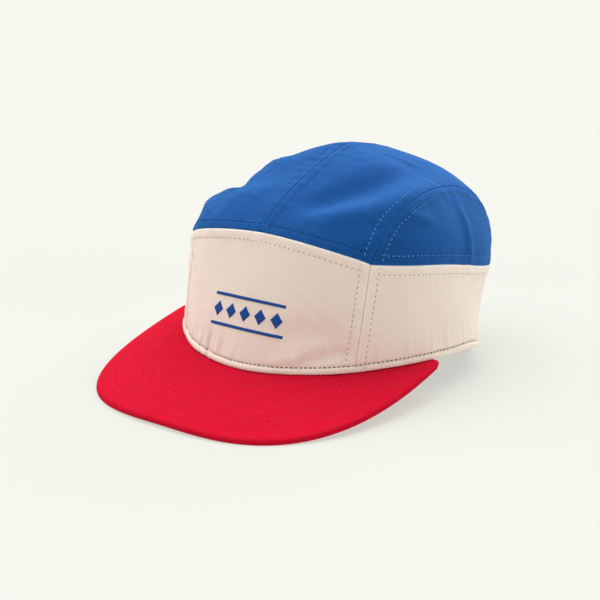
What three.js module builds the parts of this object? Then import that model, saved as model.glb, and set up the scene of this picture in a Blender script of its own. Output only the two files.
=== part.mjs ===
// Seven-panel cloth cap with a flat visor, standing empty on a table as it would by itself.
// Millimetres, +Z up, visor towards -Y, the wearer's left towards +X.
//
// The crown is one surface, drawn on a round chart: the chart's centre is the top of the crown,
// radius 1 is the waist seam between the upper and the lower panels, and radius 2 is the hem.
// Every panel is a patch of that chart, so neighbours follow the same seam.

import * as THREE from "three";

// Cloth, board and clearances
const CLOTH = 1.2;
const GAP = 0.3;

// Hem outline: reach from the head hole's centre, and how square the oval is
const HEM_FRONT = 100;
const HEM_BACK = 88;
const HEM_SIDE = 94.3;
const HEM_POWER = 1.82;
const HEM_FRONT_DROP = 9.1;
const HEM_SIDE_RISE = 10.4;

// Behind these angles from the front, in degrees, the cloth hem settles onto the table
const SETTLE_FROM = 90;
const SETTLE_TO = 142;

// How gradually the front half of an oval turns into the back half
const OVAL_BLEND = 0.35;

// Waist outline, where the upper panels are sewn to the lower ones, and its height over the hem plane
const WAIST_FRONT = 83.4;
const WAIST_BACK = 97;
const WAIST_SIDE = 83.6;
const WAIST_POWER = 2.8;
const WAIST_HEIGHT_FRONT = 67.5;
const WAIST_HEIGHT_CORNER = 57.5;
const WAIST_HEIGHT_BACK = 44.5;
const WAIST_RISE_POWER = 0.79;

// Between these angles from the front, in degrees, the waist falls to its height at the back
const WAIST_FALL_FROM = 62;
const WAIST_FALL_TO = 166;

// Dome over the waist: a power of 2 is a round arch, less is flatter and more is squarer
const CROWN_HEIGHT = 116.1;
const APEX_BACK = 0.4;
const DOME_POWER_FRONT = 1.22;
const DOME_POWER_SIDE = 2.01;
const DOME_POWER_BACK = 2.83;

// Length of a quarter of the dome, as a share of its width and height together
const DOME_ARC_SHARE = 0.8;

// Seams, as angles round the crown from the front, in degrees
const FRONT_SEAM_HEM_ANGLE = 41.6;
const FRONT_CORNER_ANGLE = 43.9;
const REAR_CORNER_ANGLE = 138;

// Rolled hem
const ROLL_HEIGHT = 2.8;
const ROLL_PROUD = 0.8;
const ROLL_MIDDLE = 0.46;

// Rear opening over the strap
const ARCH_ANGLE = 26;
const ARCH_HEIGHT = 38;

// Folds and stiff seams
const FOLD_LIFT = 4;
const SEAM_LIFT = 2;
const SEAM_SHARE = 0.1;

// Half the width, on the chart, over which a normal is taken: wide enough to round off the waist's fold
const NORMAL_STEP = 0.012;

// Visor
const VISOR_HALF_WIDTH = 95.3;
const VISOR_END = 28.7;
const VISOR_REACH = 132.1;
const VISOR_POWER = 2.8;
const VISOR_SLOPE = 0.325;
const VISOR_ARCH_RADIUS = 453;
const VISOR_THICKNESS = 3;
const VISOR_EDGE = 1.3;
const VISOR_TUCK_LENGTH = 7.7;
const VISOR_END_WIDTH = 4.1;
const VISOR_BOW = 0.022;
const VISOR_EDGE_LIMIT = 0.3;

// Sweatband
const BAND_HEIGHT = 31;
const BAND_THICKNESS = 1.2;
const BAND_LIFT = 1;
const BAND_GAP = 0.7;

// Rear strap and its buckle
const STRAP_WIDTH = 20;
const STRAP_THICKNESS = 1.4;
const STRAP_LIFT = 4.5;
const STRAP_TAIL_ANGLE = 9;
const BUCKLE_BAR = 2.6;
const BUCKLE_SLOT = 7.4;
const BUCKLE_THICKNESS = 1.6;
const BUCKLE_RIM = 2.8;
const BUCKLE_SLOT_FLARE = 0.5;
const BUCKLE_CORNER = 2.5;

// Waypoints of the seam between a top panel and a side panel, as shares of the chart's waist radius
const SIDE_SEAM = [
  { across: 0.594, back: -0.49 },
  { across: 0.564, back: -0.3 },
  { across: 0.533, back: 0.014 },
  { across: 0.475, back: 0.24 },
  { across: 0.49, back: 0.48 },
];

// Folds in the cloth. side: 1 left, -1 right. across, back, length, width: shares of the waist radius.
// turn: degrees from the front-to-back line. bend: bow of the fold's line. lift: share of FOLD_LIFT.
const FOLDS = [
  { side: 1, across: 0.46, back: -0.47, turn: 21, length: 0.44, width: 0.09, bend: -0.6, lift: 0.8 },
  { side: 1, across: 0.325, back: -0.41, turn: 14, length: 0.39, width: 0.095, bend: -0.1, lift: -1.2 },
  { side: 1, across: 0.25, back: 0.06, turn: 62, length: 0.1, width: 0.03, bend: 0, lift: 0.3 },
  { side: 1, across: 0.785, back: 0.16, turn: 87, length: 0.24, width: 0.035, bend: 0, lift: 0.35 },
  { side: 1, across: 0.665, back: -0.27, turn: 36, length: 0.1, width: 0.04, bend: 0, lift: 0.3 },
  { side: -1, across: 0.553, back: -0.325, turn: -14, length: 0.325, width: 0.144, bend: 0, lift: -1.67 },
  { side: -1, across: 0.31, back: -0.236, turn: 5.5, length: 0.295, width: 0.15, bend: 0, lift: -1.19 },
  { side: -1, across: 0.67, back: -0.45, turn: 38, length: 0.254, width: 0.08, bend: 0, lift: 0.83 },
  { side: -1, across: 0.558, back: -0.24, turn: 36, length: 0.213, width: 0.06, bend: 0, lift: -1.28 },
  { side: -1, across: 0.375, back: -0.084, turn: 45, length: 0.204, width: 0.058, bend: 0, lift: 0.68 },
  { side: -1, across: 0.5, back: -0.53, turn: 17, length: 0.2, width: 0.04, bend: 0, lift: -0.5 },
  { side: -1, across: 0.76, back: 0.16, turn: 80, length: 0.22, width: 0.05, bend: 0, lift: 0.35 },
  { side: 1, across: 0.75, back: -1.52, turn: 62, length: 0.34, width: 0.12, bend: 0, lift: -0.55 },
  { side: -1, across: 0.47, back: -1.86, turn: -10, length: 0.1, width: 0.035, bend: 0, lift: -0.4 },
];

const RADIANS = Math.PI / 180;
const mix = THREE.MathUtils.lerp;
const smooth = THREE.MathUtils.smoothstep;

// An oval whose front and back have their own reach
function ovalRadius(angle, front, back, side, power) {
  const frontShare = 0.5 * (1 + Math.tanh(Math.cos(angle) / OVAL_BLEND));
  const reach = mix(back, front, frontShare);
  const across = Math.abs(Math.sin(angle) / side) ** power;
  const along = Math.abs(Math.cos(angle) / reach) ** power;
  return (across + along) ** (-1 / power);
}

function around(angle, radius, height) {
  return new THREE.Vector3(radius * Math.sin(angle), -radius * Math.cos(angle), height);
}

// Edge of the hem as it is cut: lower at the front and back, higher at the sides
function cutHemPoint(angle) {
  const drop = HEM_FRONT_DROP * (1 + Math.cos(angle)) / 2;
  const rise = HEM_SIDE_RISE * (1 - Math.cos(2 * angle)) / 2;
  return around(angle, ovalRadius(angle, HEM_FRONT, HEM_BACK, HEM_SIDE, HEM_POWER), rise - drop);
}

// Edge of the hem as it rests: its back lies on the table, whose level slopes up through the cap's frame
function hemPoint(angle) {
  const point = cutHemPoint(angle);
  const table = Math.tan(restTilt) * (point.y - HEM_BACK);
  point.z = mix(point.z, table, smooth(Math.abs(angle) / RADIANS, SETTLE_FROM, SETTLE_TO));
  return point;
}

function waistPoint(angle) {
  const degrees = Math.abs(angle) / RADIANS;
  const share = Math.min(degrees / FRONT_CORNER_ANGLE, 1);
  const rise = (WAIST_HEIGHT_FRONT - WAIST_HEIGHT_CORNER) * Math.cos(share * Math.PI / 2) ** WAIST_RISE_POWER;
  const fall = (WAIST_HEIGHT_CORNER - WAIST_HEIGHT_BACK) * smooth(degrees, WAIST_FALL_FROM, WAIST_FALL_TO);
  const radius = ovalRadius(angle, WAIST_FRONT, WAIST_BACK, WAIST_SIDE, WAIST_POWER);
  return around(angle, radius, WAIST_HEIGHT_CORNER + rise - fall);
}

function domePoint(angle, radius) {
  const climb = (1 - radius) * Math.PI / 2;
  const facing = Math.cos(angle);
  const endPower = facing > 0 ? DOME_POWER_FRONT : DOME_POWER_BACK;
  const power = mix(endPower, DOME_POWER_SIDE, 1 - facing * facing);
  const level = Math.max(Math.cos(climb), 1e-6);
  const up = Math.max(Math.sin(climb), 1e-6);
  const reach = (level ** power + up ** power) ** (-1 / power);
  const foot = waistPoint(angle);
  return new THREE.Vector3(
    foot.x * level * reach,
    APEX_BACK + (foot.y - APEX_BACK) * level * reach,
    foot.z + (CROWN_HEIGHT - foot.z) * up * reach,
  );
}

const frontCorner = FRONT_CORNER_ANGLE * RADIANS;
const rearCorner = REAR_CORNER_ANGLE * RADIANS;
const chartPoint = (angle, radius) => new THREE.Vector2(radius * Math.sin(angle), -radius * Math.cos(angle));
const sideSeam = new THREE.SplineCurve([
  chartPoint(frontCorner, 1),
  ...SIDE_SEAM.map((row) => new THREE.Vector2(row.across, row.back)),
  chartPoint(rearCorner, 1),
]);
const sideSeamPoints = sideSeam.getPoints(36);

// Panels on both sides of the seam step along it together, so that their edges stay parallel
const SEAM_STEPS = 30;

// How far the cloth stands off the plain form at a place on the chart
function clothLift(across, back) {
  let lift = 0;
  for (const fold of FOLDS) {
    const aside = across * fold.side - fold.across;
    const behind = back - fold.back;
    const turn = fold.turn * RADIANS;
    const along = aside * Math.sin(turn) + behind * Math.cos(turn);
    const over = aside * Math.cos(turn) - behind * Math.sin(turn) - fold.bend * along * along;
    lift += FOLD_LIFT * fold.lift * Math.exp(-((over / fold.width) ** 2) - (along / fold.length) ** 4);
  }
  const radius = Math.hypot(across, back);
  const fade = 1 - smooth(radius, 0.75, 1.02);
  const place = new THREE.Vector2(Math.abs(across), back);
  const seamDistance = Math.min(...sideSeamPoints.map((point) => point.distanceTo(place)));
  const ribs = Math.exp(-((across / SEAM_SHARE) ** 2)) + Math.exp(-((seamDistance / SEAM_SHARE) ** 2));
  return lift + SEAM_LIFT * ribs * fade;
}

// Outer face of the crown at a place on the chart, before the rolled hem is added
function crownPoint(across, back) {
  const radius = Math.hypot(across, back);
  const angle = Math.atan2(across, -back);
  const point = radius <= 1
    ? domePoint(angle, radius)
    : waistPoint(angle).lerp(hemPoint(angle), radius - 1);
  const heart = new THREE.Vector3(0, APEX_BACK, WAIST_HEIGHT_BACK / 2);
  const outward = point.clone().sub(heart);
  if (radius > 1) outward.z = 0;
  return point.addScaledVector(outward.normalize(), clothLift(across, back));
}

function crownNormal(across, back) {
  const sideways = crownPoint(across + NORMAL_STEP, back).sub(crownPoint(across - NORMAL_STEP, back));
  const rearward = crownPoint(across, back + NORMAL_STEP).sub(crownPoint(across, back - NORMAL_STEP));
  return sideways.cross(rearward).normalize();
}

function crownOffset(place, offset) {
  return crownPoint(place.x, place.y).addScaledVector(crownNormal(place.x, place.y), offset);
}

// Height of the wall between hem and waist at an angle, measured along the cloth
function wallLength(angle) {
  return waistPoint(angle).distanceTo(hemPoint(angle));
}

// Place on the chart that lies a height up the wall from the hem
function wallPlace(angle, height) {
  return chartPoint(angle, 2 - height / wallLength(angle));
}

// A closed wall with an outer and an inner face over a grid of columns and rows
function closedWall(columns, rows, outerAt, innerAt) {
  const positions = [];
  const triangles = [];
  const faceSize = (columns + 1) * (rows + 1);
  for (const pointAt of [outerAt, innerAt]) {
    for (let row = 0; row <= rows; row += 1) {
      for (let column = 0; column <= columns; column += 1) {
        positions.push(...pointAt(column / columns, row).toArray());
      }
    }
  }
  const at = (column, row) => row * (columns + 1) + column;
  const quad = (a, b, c, d) => triangles.push(a, b, c, a, c, d);
  for (let row = 0; row < rows; row += 1) {
    for (let column = 0; column < columns; column += 1) {
      const corners = [at(column, row), at(column + 1, row), at(column + 1, row + 1), at(column, row + 1)];
      quad(...corners);
      quad(...corners.map((corner) => corner + faceSize).reverse());
    }
  }
  const edge = [];
  for (let column = 0; column < columns; column += 1) edge.push(at(column, 0));
  for (let row = 0; row < rows; row += 1) edge.push(at(columns, row));
  for (let column = columns; column > 0; column -= 1) edge.push(at(column, rows));
  for (let row = rows; row > 0; row -= 1) edge.push(at(0, row));
  edge.forEach((from, index) => {
    const to = edge[(index + 1) % edge.length];
    quad(to, from, from + faceSize, to + faceSize);
  });
  const geometry = new THREE.BufferGeometry();
  geometry.setAttribute("position", new THREE.Float32BufferAttribute(positions, 3));
  geometry.setIndex(facingOut(positions, triangles));
  geometry.computeVertexNormals();
  return geometry;
}

// The same triangles, turned over where the solid would be inside out
function facingOut(positions, triangles) {
  const corner = (index) => new THREE.Vector3().fromArray(positions, 3 * index);
  let volume = 0;
  for (let i = 0; i < triangles.length; i += 3) {
    const [a, b, c] = triangles.slice(i, i + 3).map(corner);
    volume += a.dot(b.cross(c));
  }
  return volume > 0 ? triangles : triangles.reverse();
}

// A patch of the dome between four edges on the chart, as Coons filled them
function coonsPlace(front, rear, inner, outer, share, along) {
  const ends = front(share).lerp(rear(share), along);
  const sides = inner(along).lerp(outer(along), share);
  const cornersFront = inner(0).lerp(outer(0), share);
  const cornersRear = inner(1).lerp(outer(1), share);
  return ends.add(sides).sub(cornersFront.lerp(cornersRear, along));
}

const domeArc = (WAIST_SIDE + CROWN_HEIGHT - WAIST_HEIGHT_CORNER) * DOME_ARC_SHARE;
const chartGap = GAP / 2 / domeArc;

function clothSolid(columns, rows, placeAt) {
  return closedWall(
    columns,
    rows,
    (share, row) => crownOffset(placeAt(share, row / rows), 0),
    (share, row) => crownOffset(placeAt(share, row / rows), -CLOTH),
  );
}

function topPanel(side) {
  const columns = 8;
  const rows = SEAM_STEPS;
  const reach = 1 - chartGap;
  const front = (share) => chartPoint(share * frontCorner, reach);
  const rear = (share) => chartPoint(Math.PI - share * (Math.PI - rearCorner), reach);
  const inner = (along) => new THREE.Vector2(0, mix(-reach, reach, along));
  const outer = (along) => sideSeam.getPoint(along).multiplyScalar(reach);
  const inset = chartGap * 2;
  return clothSolid(columns, rows, (share, along) => {
    const place = coonsPlace(front, rear, inner, outer, mix(inset, 1 - inset, share), along);
    return place.multiply(new THREE.Vector2(side, 1));
  });
}

function sideUpperPanel(side) {
  const rows = 6;
  const columns = SEAM_STEPS - 2 * rows;
  const knee = rows / SEAM_STEPS;
  const reach = 1 - chartGap;
  const lower = (share) => chartPoint(mix(frontCorner, rearCorner, share), reach);
  const upper = (share) => sideSeam.getPoint(mix(knee, 1 - knee, share)).multiplyScalar(reach);
  const front = (along) => sideSeam.getPoint(along * knee).multiplyScalar(reach);
  const rear = (along) => sideSeam.getPoint(1 - along * knee).multiplyScalar(reach);
  const inset = chartGap * 2;
  return clothSolid(columns, rows, (share, along) => {
    const sideways = mix(inset, 1 - inset, share);
    const place = coonsPlace(lower, upper, front, rear, sideways, mix(0, 1 - inset * 2, along));
    return place.multiply(new THREE.Vector2(side, 1));
  });
}

// Rolled hem: a half-round bead on the lower edge, pressed flat underneath
function rollOffset(height) {
  const middle = ROLL_HEIGHT * ROLL_MIDDLE;
  const reach = ROLL_HEIGHT - middle;
  return ROLL_PROUD * Math.sqrt(Math.max(0, 1 - ((height - middle) / reach) ** 2));
}

// Rows up the roll, as shares of its height
const ROLL_SHARES = [0, 0.16, 0.42, 0.68, 0.9, 1];

// A point of a lower panel's face. Its bottom edge moves out level with the table.
function lowerFace(angle, height, offset) {
  const place = wallPlace(angle, height);
  const normal = crownNormal(place.x, place.y);
  if (height === 0) {
    const up = new THREE.Vector3(0, -Math.sin(restTilt), Math.cos(restTilt));
    normal.addScaledVector(up, -normal.dot(up)).normalize();
  }
  return crownPoint(place.x, place.y).addScaledVector(normal, offset);
}

// Rows climb the roll, then the shares given
function lowerPanel(columns, climbs, angleAt) {
  const heightAt = (row, angle) => {
    if (row < ROLL_SHARES.length) return ROLL_SHARES[row] * ROLL_HEIGHT;
    return mix(ROLL_HEIGHT, wallLength(angle) - GAP / 2, climbs[row - ROLL_SHARES.length]);
  };
  const rows = ROLL_SHARES.length + climbs.length - 1;
  const faceAt = (offsetAt) => (share, row) => {
    const angle = angleAt(share, row < ROLL_SHARES.length ? 0 : climbs[row - ROLL_SHARES.length]);
    const height = heightAt(row, angle);
    return lowerFace(angle, height, offsetAt(height));
  };
  return closedWall(columns, rows, faceAt(rollOffset), faceAt(() => -CLOTH));
}

function frontPanel() {
  const climbs = [0.12, 0.27, 0.43, 0.59, 0.76, 0.9, 1];
  const seamGap = GAP / 2 / HEM_FRONT;
  return lowerPanel(26, climbs, (share, climb) => {
    const seamAngle = mix(FRONT_SEAM_HEM_ANGLE, FRONT_CORNER_ANGLE, climb) * RADIANS - seamGap;
    return mix(-seamAngle, seamAngle, share);
  });
}

// Angle of the rear opening's edge from the centre back, at a share of the climb
function archAngle(climb) {
  const height = climb * (wallLength(Math.PI) - ROLL_HEIGHT);
  const share = Math.min(height / (ARCH_HEIGHT - ROLL_HEIGHT), 1);
  return ARCH_ANGLE * RADIANS * Math.sqrt(1 - share * share);
}

function sideLowerPanel(side) {
  const archTop = (ARCH_HEIGHT - ROLL_HEIGHT) / (wallLength(Math.PI) - ROLL_HEIGHT);
  const archClimbs = [0.2, 0.38, 0.56, 0.71, 0.83, 0.92, 0.98, 1].map((share) => share * archTop);
  const seamGap = GAP / 2 / HEM_BACK;
  return lowerPanel(26, [...archClimbs, 1], (share, climb) => {
    const front = mix(FRONT_SEAM_HEM_ANGLE, FRONT_CORNER_ANGLE, climb) * RADIANS + seamGap;
    const rear = Math.PI - Math.max(archAngle(climb), seamGap);
    return side * mix(front, rear, share);
  });
}

// Visor edge in plan, from the right end through the front to the left end
function visorOuter(turn) {
  const along = Math.abs(Math.cos(turn)) ** (2 / VISOR_POWER);
  const across = Math.abs(Math.sin(turn)) ** (2 / VISOR_POWER);
  const y = -VISOR_END - VISOR_REACH * along;
  const wide = VISOR_HALF_WIDTH * across;
  const tuck = smooth(y, -VISOR_END - VISOR_TUCK_LENGTH, -VISOR_END) ** 2;
  const end = hemAcross(VISOR_END) + VISOR_END_WIDTH;
  const x = mix(wide, end, tuck) * Math.sign(turn);
  const z = -HEM_FRONT_DROP + VISOR_SLOPE * (HEM_FRONT + y) - x * x / (2 * VISOR_ARCH_RADIUS);
  return new THREE.Vector3(x, y, z);
}

// Half width of the hem at a distance in front of the head hole's centre
function hemAcross(forward) {
  return HEM_SIDE * (1 - (forward / HEM_FRONT) ** HEM_POWER) ** (1 / HEM_POWER);
}

// Upper face of the visor: straight rulings from under the hem to the edge, slightly bowed
function visorTop(turn, share) {
  const endAngle = Math.atan2(hemAcross(VISOR_END), VISOR_END);
  const angle = turn / (Math.PI / 2) * endAngle;
  const hem = cutHemPoint(angle);
  const inward = Math.hypot(hem.x, hem.y);
  const inner = hem.clone();
  inner.x *= 1 - CLOTH / inward;
  inner.y *= 1 - CLOTH / inward;
  inner.z -= GAP;
  const outer = visorOuter(turn);
  const bow = VISOR_BOW * inner.distanceTo(outer) * 4 * share * (1 - share);
  outer.z = Math.min(outer.z, inner.z - 0.5);
  return inner.lerp(outer, share).add(new THREE.Vector3(0, 0, bow));
}

// Rows across the visor. out: share of the way to where its edge starts to round off. edge: share of
// that rounding passed. round: share of the thickness that it takes off above, and off below.
const VISOR_ROWS = [
  { out: 0, edge: 0, round: 0 },
  { out: 0.25, edge: 0, round: 0 },
  { out: 0.5, edge: 0, round: 0 },
  { out: 0.75, edge: 0, round: 0 },
  { out: 1, edge: 0, round: 0 },
  { out: 1, edge: 0.65, round: 0.12 },
  { out: 1, edge: 1, round: 0.36 },
];

function visorFace(turn, { out, edge, round }, below) {
  const length = visorTop(turn, 0).distanceTo(visorTop(turn, 1));
  const rounded = Math.min(VISOR_EDGE / length, VISOR_EDGE_LIMIT);
  const point = visorTop(turn, out * (1 - rounded) + edge * rounded);
  point.z -= VISOR_THICKNESS * (below ? 1 - round : round);
  return point;
}

const VISOR_COLUMNS = 38;

// Turn of a column round the visor, a little closer together at the two ends
function visorTurn(share) {
  const even = mix(-1, 1, share);
  return Math.sign(even) * Math.abs(even) ** 0.9 * Math.PI / 2;
}

function visorPlate() {
  return closedWall(
    VISOR_COLUMNS,
    VISOR_ROWS.length - 1,
    (share, row) => visorFace(visorTurn(share), VISOR_ROWS[row], false),
    (share, row) => visorFace(visorTurn(share), VISOR_ROWS[row], true),
  );
}

// The rest tilt brings the lowest point of the visor and the rear hem onto one level
function findRestTilt() {
  let tilt = 0;
  for (let column = 0; column <= VISOR_COLUMNS; column += 1) {
    for (const row of VISOR_ROWS) {
      const point = visorFace(visorTurn(column / VISOR_COLUMNS), row, true);
      tilt = Math.max(tilt, Math.atan2(-point.z, HEM_BACK - point.y));
    }
  }
  return tilt;
}

const restTilt = findRestTilt();

const strapEnd = Math.PI - (ARCH_ANGLE + STRAP_TAIL_ANGLE) * RADIANS;
const insideFace = CLOTH + GAP;

function sweatband() {
  const end = strapEnd - 2 * GAP / HEM_BACK - 0.02;
  const rows = 4;
  const faceAt = (offset) => (share, row) => {
    const height = BAND_LIFT + BAND_HEIGHT * row / rows;
    return crownOffset(wallPlace(mix(-end, end, share), height), -offset);
  };
  const outside = CLOTH + BAND_GAP;
  return closedWall(64, rows, faceAt(outside), faceAt(outside + BAND_THICKNESS));
}

// Rear of the cap, by the distance from the centre back and the height over the hem
function rearPoint(aside, height, offset) {
  const angle = Math.PI - Math.abs(aside) / HEM_BACK;
  return crownOffset(wallPlace(Math.sign(aside || 1) * angle, height), -offset);
}

const strapMiddle = insideFace + STRAP_THICKNESS / 2;
const buckleReach = BUCKLE_BAR / 2 + BUCKLE_SLOT + BUCKLE_BAR;
const buckleStep = (BUCKLE_THICKNESS + STRAP_THICKNESS) / 2 + GAP;

// The strap lies behind the buckle's outer bars and comes forward over its middle bar
function strapDepth(aside) {
  const forward = 1 - smooth(Math.abs(aside), BUCKLE_BAR / 2 + 0.5, BUCKLE_BAR / 2 + BUCKLE_SLOT - 0.5);
  return strapMiddle - 2 * buckleStep * forward;
}

function rearStrap() {
  const halfLength = (ARCH_ANGLE + STRAP_TAIL_ANGLE) * RADIANS * HEM_BACK;
  const columns = 44;
  const asideAt = (share) => {
    const even = mix(-1, 1, share);
    return halfLength * Math.sign(even) * Math.abs(even) ** 1.7;
  };
  const faceAt = (offset) => (share, row) => {
    const aside = asideAt(share);
    return rearPoint(aside, STRAP_LIFT + row * STRAP_WIDTH / 2, strapDepth(aside) + offset);
  };
  return closedWall(columns, 2, faceAt(-STRAP_THICKNESS / 2), faceAt(STRAP_THICKNESS / 2));
}

function roundedRectangle(path, halfWidth, halfHeight, corner) {
  path.moveTo(-halfWidth + corner, -halfHeight);
  path.lineTo(halfWidth - corner, -halfHeight);
  path.quadraticCurveTo(halfWidth, -halfHeight, halfWidth, -halfHeight + corner);
  path.lineTo(halfWidth, halfHeight - corner);
  path.quadraticCurveTo(halfWidth, halfHeight, halfWidth - corner, halfHeight);
  path.lineTo(-halfWidth + corner, halfHeight);
  path.quadraticCurveTo(-halfWidth, halfHeight, -halfWidth, halfHeight - corner);
  path.lineTo(-halfWidth, -halfHeight + corner);
  path.quadraticCurveTo(-halfWidth, -halfHeight, -halfWidth + corner, -halfHeight);
  return path;
}

// Three-bar slide: a flat frame with two slots, bent to the strap's curve
function strapBuckle() {
  const slotHeight = STRAP_WIDTH / 2 + GAP * 2;
  const frame = roundedRectangle(new THREE.Shape(), buckleReach, slotHeight + BUCKLE_RIM, BUCKLE_CORNER);
  for (const side of [-1, 1]) {
    const slot = new THREE.Path();
    const near = BUCKLE_BAR / 2;
    const far = near + BUCKLE_SLOT;
    slot.moveTo(side * near, -slotHeight);
    slot.lineTo(side * near, slotHeight);
    slot.lineTo(side * far, slotHeight + BUCKLE_SLOT_FLARE);
    slot.lineTo(side * far, -slotHeight - BUCKLE_SLOT_FLARE);
    slot.closePath();
    frame.holes.push(slot);
  }
  const settings = { depth: BUCKLE_THICKNESS, bevelEnabled: false, curveSegments: 3 };
  const geometry = new THREE.ExtrudeGeometry(frame, settings);
  const position = geometry.attributes.position;
  const middle = strapMiddle - buckleStep + BUCKLE_THICKNESS / 2;
  for (let i = 0; i < position.count; i += 1) {
    const height = STRAP_LIFT + STRAP_WIDTH / 2 + position.getY(i);
    const bent = rearPoint(-position.getX(i), height, middle - position.getZ(i));
    position.setXYZ(i, bent.x, bent.y, bent.z);
  }
  geometry.computeVertexNormals();
  return geometry;
}

const clothMaterial = (color) => new THREE.MeshStandardMaterial({ color, roughness: 0.9, metalness: 0 });
const beigeTwill = () => clothMaterial(0xe4d2c3);
const blueTwill = () => clothMaterial(0x1d4f9e);
const redTwill = () => clothMaterial(0xd81b35);
const metal = () => new THREE.MeshStandardMaterial({ color: 0x9a9a96, roughness: 0.35, metalness: 1 });

function piece(name, geometry, material) {
  const mesh = new THREE.Mesh(geometry, material);
  mesh.name = name;
  return mesh;
}

const crown = new THREE.Group();
crown.add(piece("front_panel", frontPanel(), beigeTwill()));
for (const [name, side] of [["left", 1], ["right", -1]]) {
  crown.add(piece(`side_lower_${name}`, sideLowerPanel(side), beigeTwill()));
  crown.add(piece(`side_upper_${name}`, sideUpperPanel(side), blueTwill()));
  crown.add(piece(`top_panel_${name}`, topPanel(side), blueTwill()));
}
crown.add(piece("sweatband", sweatband(), beigeTwill()));
crown.add(piece("rear_strap", rearStrap(), beigeTwill()));
crown.add(piece("strap_buckle", strapBuckle(), metal()));

crown.add(piece("visor", visorPlate(), redTwill()));
crown.position.y = -HEM_BACK;

// The cap leans back until the visor and the rear hem share one level, about the rear hem
const leaning = new THREE.Group();
leaning.rotation.x = -restTilt;
leaning.add(crown);

// Origin under the middle of the whole cap
const cap = new THREE.Group();
cap.add(leaning);
cap.updateMatrixWorld(true);
const bounds = new THREE.Box3().setFromObject(cap, true);
leaning.position.set(0, -(bounds.min.y + bounds.max.y) / 2, -bounds.min.z);

export default cap;
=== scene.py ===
import math
from collections import namedtuple

import bpy
import numpy as np
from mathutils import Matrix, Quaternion, Vector


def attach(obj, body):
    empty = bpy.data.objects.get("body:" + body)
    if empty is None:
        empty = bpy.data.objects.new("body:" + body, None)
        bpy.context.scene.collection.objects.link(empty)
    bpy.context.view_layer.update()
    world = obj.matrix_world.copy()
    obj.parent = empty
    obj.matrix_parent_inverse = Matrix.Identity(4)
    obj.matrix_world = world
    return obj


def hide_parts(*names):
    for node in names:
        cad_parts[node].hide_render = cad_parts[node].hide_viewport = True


# A cloth cap of seven panels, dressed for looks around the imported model.
# Lengths are millimetres in the cap's own frame: +Z up from the hem plane, visor towards -Y, and the
# head hole's centre at the origin. to_world leans the cap back as it rests and changes to metres.

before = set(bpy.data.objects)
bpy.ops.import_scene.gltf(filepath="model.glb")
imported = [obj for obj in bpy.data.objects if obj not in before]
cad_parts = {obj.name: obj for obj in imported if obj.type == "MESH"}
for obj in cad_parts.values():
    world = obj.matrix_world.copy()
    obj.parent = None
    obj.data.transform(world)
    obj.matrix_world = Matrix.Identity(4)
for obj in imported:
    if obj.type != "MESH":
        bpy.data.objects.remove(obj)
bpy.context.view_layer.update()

MM = 0.001
RADIANS = math.pi / 180

# Hem and waist outlines, dome, seams, folds and visor, with the same values as the solids
HEM_FRONT = 100
HEM_BACK = 88
HEM_SIDE = 94.3
HEM_POWER = 1.82
HEM_FRONT_DROP = 9.1
HEM_SIDE_RISE = 10.4
SETTLE_FROM = 90
SETTLE_TO = 142
OVAL_BLEND = 0.35
WAIST_FRONT = 83.4
WAIST_BACK = 97
WAIST_SIDE = 83.6
WAIST_POWER = 2.8
WAIST_HEIGHT_FRONT = 67.5
WAIST_HEIGHT_CORNER = 57.5
WAIST_HEIGHT_BACK = 44.5
WAIST_RISE_POWER = 0.79
WAIST_FALL_FROM = 62
WAIST_FALL_TO = 166
CROWN_HEIGHT = 116.1
APEX_BACK = 0.4
DOME_POWER_FRONT = 1.22
DOME_POWER_SIDE = 2.01
DOME_POWER_BACK = 2.83
FRONT_SEAM_HEM_ANGLE = 41.6
FRONT_CORNER_ANGLE = 43.9
REAR_CORNER_ANGLE = 138
ROLL_HEIGHT = 2.8
ROLL_PROUD = 0.8
ROLL_MIDDLE = 0.46
ARCH_ANGLE = 26
ARCH_HEIGHT = 38
CLOTH = 1.2
GAP = 0.3
FOLD_LIFT = 4
SEAM_LIFT = 2
SEAM_SHARE = 0.1
RIB_FADE_FROM = 0.75
RIB_FADE_TO = 1.02
REST_TILT = 7.4921
TILT_SINE, TILT_COSINE = math.sin(REST_TILT * RADIANS), math.cos(REST_TILT * RADIANS)
WORLD_SHIFT = 116.326

SIDE_SEAM = [(0.594, -0.49), (0.564, -0.3), (0.533, 0.014), (0.475, 0.24), (0.49, 0.48)]

# side: 1 left, -1 right. across, back, length, width: shares of the waist radius. turn: degrees from the
# front-to-back line. bend: bow of the fold's line. lift: share of FOLD_LIFT.
Fold = namedtuple("Fold", "side across back turn length width bend lift")
FOLDS = [
    Fold(1, 0.46, -0.47, 21, 0.44, 0.09, -0.6, 0.8),
    Fold(1, 0.325, -0.41, 14, 0.39, 0.095, -0.1, -1.2),
    Fold(1, 0.25, 0.06, 62, 0.1, 0.03, 0, 0.3),
    Fold(1, 0.785, 0.16, 87, 0.24, 0.035, 0, 0.35),
    Fold(1, 0.665, -0.27, 36, 0.1, 0.04, 0, 0.3),
    Fold(-1, 0.553, -0.325, -14, 0.325, 0.144, 0, -1.67),
    Fold(-1, 0.31, -0.236, 5.5, 0.295, 0.15, 0, -1.19),
    Fold(-1, 0.67, -0.45, 38, 0.254, 0.08, 0, 0.83),
    Fold(-1, 0.558, -0.24, 36, 0.213, 0.06, 0, -1.28),
    Fold(-1, 0.375, -0.084, 45, 0.204, 0.058, 0, 0.68),
    Fold(-1, 0.5, -0.53, 17, 0.2, 0.04, 0, -0.5),
    Fold(-1, 0.76, 0.16, 80, 0.22, 0.05, 0, 0.35),
    Fold(1, 0.75, -1.52, 62, 0.34, 0.12, 0, -0.55),
    Fold(-1, 0.47, -1.86, -10, 0.1, 0.035, 0, -0.4),
]
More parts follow.
